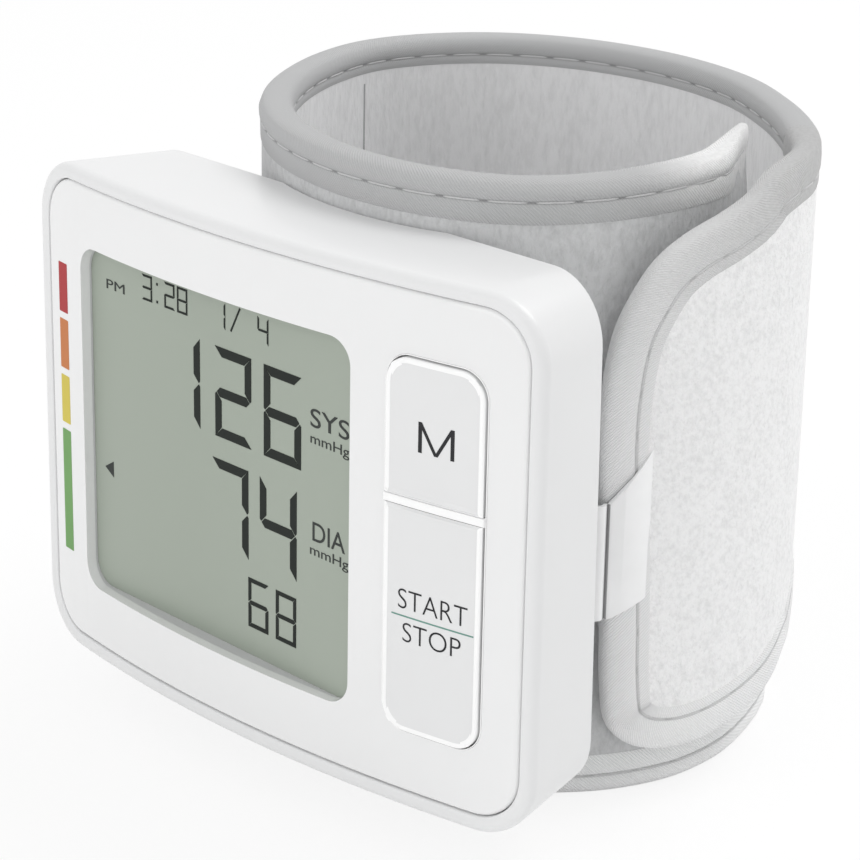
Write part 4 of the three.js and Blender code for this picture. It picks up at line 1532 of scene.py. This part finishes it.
def trimmed_cloth(name, left, right, inner, outer, top, spacing, corners):
    """A flat length of cloth, scored and cut to an outline."""
    piece = block(name, left, right, inner, outer, CUFF_BOTTOM, top)
    score(piece, spacing)
    outline = filled_prism("outline", corners, OUTLINE_HALF_DEPTH)
    stand_up(outline)
    cut_out(piece, outline, "INTERSECT")
    return piece


def cuff_cloth():
    half = CUFF_THICKNESS / 2
    inset = TAPE_HEIGHT / 2
    top = CUFF_TOP + REACH
    trimmed = offset_line(even_steps(ring_bottom, EDGE_STEP), inset)
    corners = [
        (JOIN_ALONG + PAST, top), (JOIN_ALONG + PAST, trimmed[0].y), *trimmed,
        (-REACH, trimmed[-1].y), (-REACH, top),
    ]
    for name, inner, outer, material, slot, node in (
        ("outer_cloth", LAYER_GAP, half, brushed_fleece, "cuff_grey", "cuff_cloth"),
        ("inner_lining", -half, -LAYER_GAP, soft_lining, "lining_grey", "cuff_lining"),
    ):
        cloth = trimmed_cloth(
            name, INNER_END, JOIN_ALONG + JOIN_LAP, inner, outer, CUFF_TOP - inset, CUFF_SPACING,
            corners,
        )
        finish_cuff_piece(cloth, SMOOTH_CLOTH, material, slot, node)


def cuff_tapes():
    for name, edge, material, node in (
        ("top_tape", ring_top, edge_tape, "top_binding"),
        ("lower_tape", ring_bottom, lower_tape, "lower_binding"),
    ):
        piece = tape(name, edge, TAPE_HEIGHT, STITCH_DROP, INNER_TAPE_HEIGHT)
        finish_cuff_piece(piece, SMOOTH_TAPE, material, "tape_grey", node)
        stitch_rows(name, edge, STITCH_DROP, finish_cuff_piece)


def lining_seam():
    """The fold where the two lengths of the lining meet."""
    inner = -CUFF_THICKNESS / 2
    fold = block(
        "lining_seam", SEAM_ALONG - SEAM_HALF, SEAM_ALONG + SEAM_HALF, inner - SEAM_PROUD,
        inner + SEAM_PROUD, CUFF_BOTTOM + TAPE_HEIGHT, CUFF_TOP - TAPE_HEIGHT,
    )
    wrap(fold)
    settle(fold, seam_shade, "lining_grey", "case")


def flap_pieces():
    half = CUFF_THICKNESS / 2
    outline = offset_line(even_steps(flap_line, EDGE_STEP), FLAP_TAPE_HEIGHT / 2)
    start = JOIN_ALONG - PAST
    cloth = trimmed_cloth(
        "flap_cloth", JOIN_ALONG - JOIN_LAP, CUFF_LENGTH, -half, half, CUFF_TOP, FLAP_SPACING,
        [(start, outline[0].y), *outline, (start, outline[-1].y)],
    )
    finish_flap_piece(cloth, SMOOTH_CLOTH, loop_fleece, "flap_white", "flap")
    edge = tape("flap_tape", flap_line, FLAP_TAPE_HEIGHT, FLAP_STITCH_DROP, FLAP_TAPE_HEIGHT)
    finish_flap_piece(edge, SMOOTH_TAPE, pale_tape, "tape_grey", "flap_binding")
    stitch_rows("flap", flap_line, FLAP_STITCH_DROP, finish_flap_piece)


def ribbon_tab():
    """A ribbon folded round the tip of the flap, its fold a loop that stands off the edge."""
    line = catmull_rom(TAB_LINE, 5)
    half = RIBBON_THICKNESS / 2
    sides = [*offset_line(line, half), *reversed(offset_line(line, -half))]
    tip = along_where(HINGE_ALONG, CUFF_LENGTH, lambda point: point.y, FLAP_TIP)
    tab = filled_prism(
        "ribbon_tab", [point + Vector((tip, 0, 0)) for point in sides], (TAB_TOP - TAB_BOTTOM) / 2,
    )
    for vertex in tab.data.vertices:
        back = max(0, tip - TAB_FLARE_START - vertex.co.x / MM)
        if vertex.co.y > 0:
            vertex.co.z += back * (TAB_FLARE_TOP if vertex.co.z > 0 else TAB_FLARE_BOTTOM) * MM
    move_by(tab, 0, 0, (TAB_TOP + TAB_BOTTOM) / 2)
    # Faces in the creases of the fold, which are painted dark as shade.
    crease_shade_faces = [
        polygon.index for polygon in tab.data.polygons
        if polygon.center.y / MM > CREASE_FLOOR
        and any(low < polygon.center.x / MM - tip < high for low, high in TAB_CREASES)
    ]
    wrap(tab)
    smooth(tab, SMOOTH_CLOTH)
    settle(tab, ribbon, "ribbon_white", "flap", "pull_tab")
    repaint(tab, crease_shade_faces, tab_crease_shade)


# Pieces that keep their solid shape

def dressed(node, name, material, body):
    """A merged copy of a solid with softened edges."""
    piece = copy_of(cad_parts[node], name)
    piece.parent = None
    face_outwards(piece)
    apply_modifier(
        piece, "BEVEL", width=SOFT_EDGE * MM, segments=2, limit_method="ANGLE",
        angle_limit=math.radians(SMOOTH_CLOTH),
    )
    smooth(piece, SMOOTH_CLOTH)
    give_material(piece, material)
    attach(piece, body)
    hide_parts(node)
    return piece


def cross_screw(node, name):
    """A cover screw with a cross cut into its head."""
    piece = dressed(node, name, plated_metal, "case")
    low, high = extent(piece)
    x, _, z = (low + high) / 2
    for width, height in ((RECESS_LENGTH, RECESS_WIDTH), (RECESS_WIDTH, RECESS_LENGTH)):
        left, right, bottom, top = box_round(x, z, width, height)
        cut_out(piece, block(
            "recess", left, right, high.y - RECESS_DEPTH, high.y + SHORT_PAST, bottom, top,
        ))


def solid_pieces():
    dressed("back_cover", "rear_cover", case_gloss, "case")
    dressed("hook_patch", "hook_strip", hook_tape, "flap")
    dressed("air_bladder", "bladder_film", clear_film, "case")
    dressed("charging_socket", "socket_shell", plated_metal, "case")
    for number in range(1, COVER_SCREWS + 1):
        cross_screw(f"cover_screw_{number}", f"cross_screw_{number}")
    for finish, nodes in (
        (inner_white, ("display_tray", "pump_crank", "air_manifold", "cuff_former")),
        (dark_plastic, (
            "memory_switch", "start_stop_switch", "pressure_sensor", "pump_head", "release_valve",
        )),
        (plated_metal, ("pump_motor", "valve_plunger")),
        (board_green, ("circuit_board",)),
        (cell_foil, ("battery_cell",)),
    ):
        for node in nodes:
            give_material(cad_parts[node], finish)


camera()
floor()
surroundings()
for settings in LAMPS:
    lamp(*settings)
for make in (
    front_shell, fascia, window_skirt, display_panel, display_figures, display_arrow,
    display_marks, colour_stripes, keys, key_frame, key_marks, cuff_cloth, cuff_tapes,
    lining_seam, flap_pieces, ribbon_tab, solid_pieces,
):
    make()
for route in (bow_route, cuff_route):
    bpy.data.objects.remove(route)
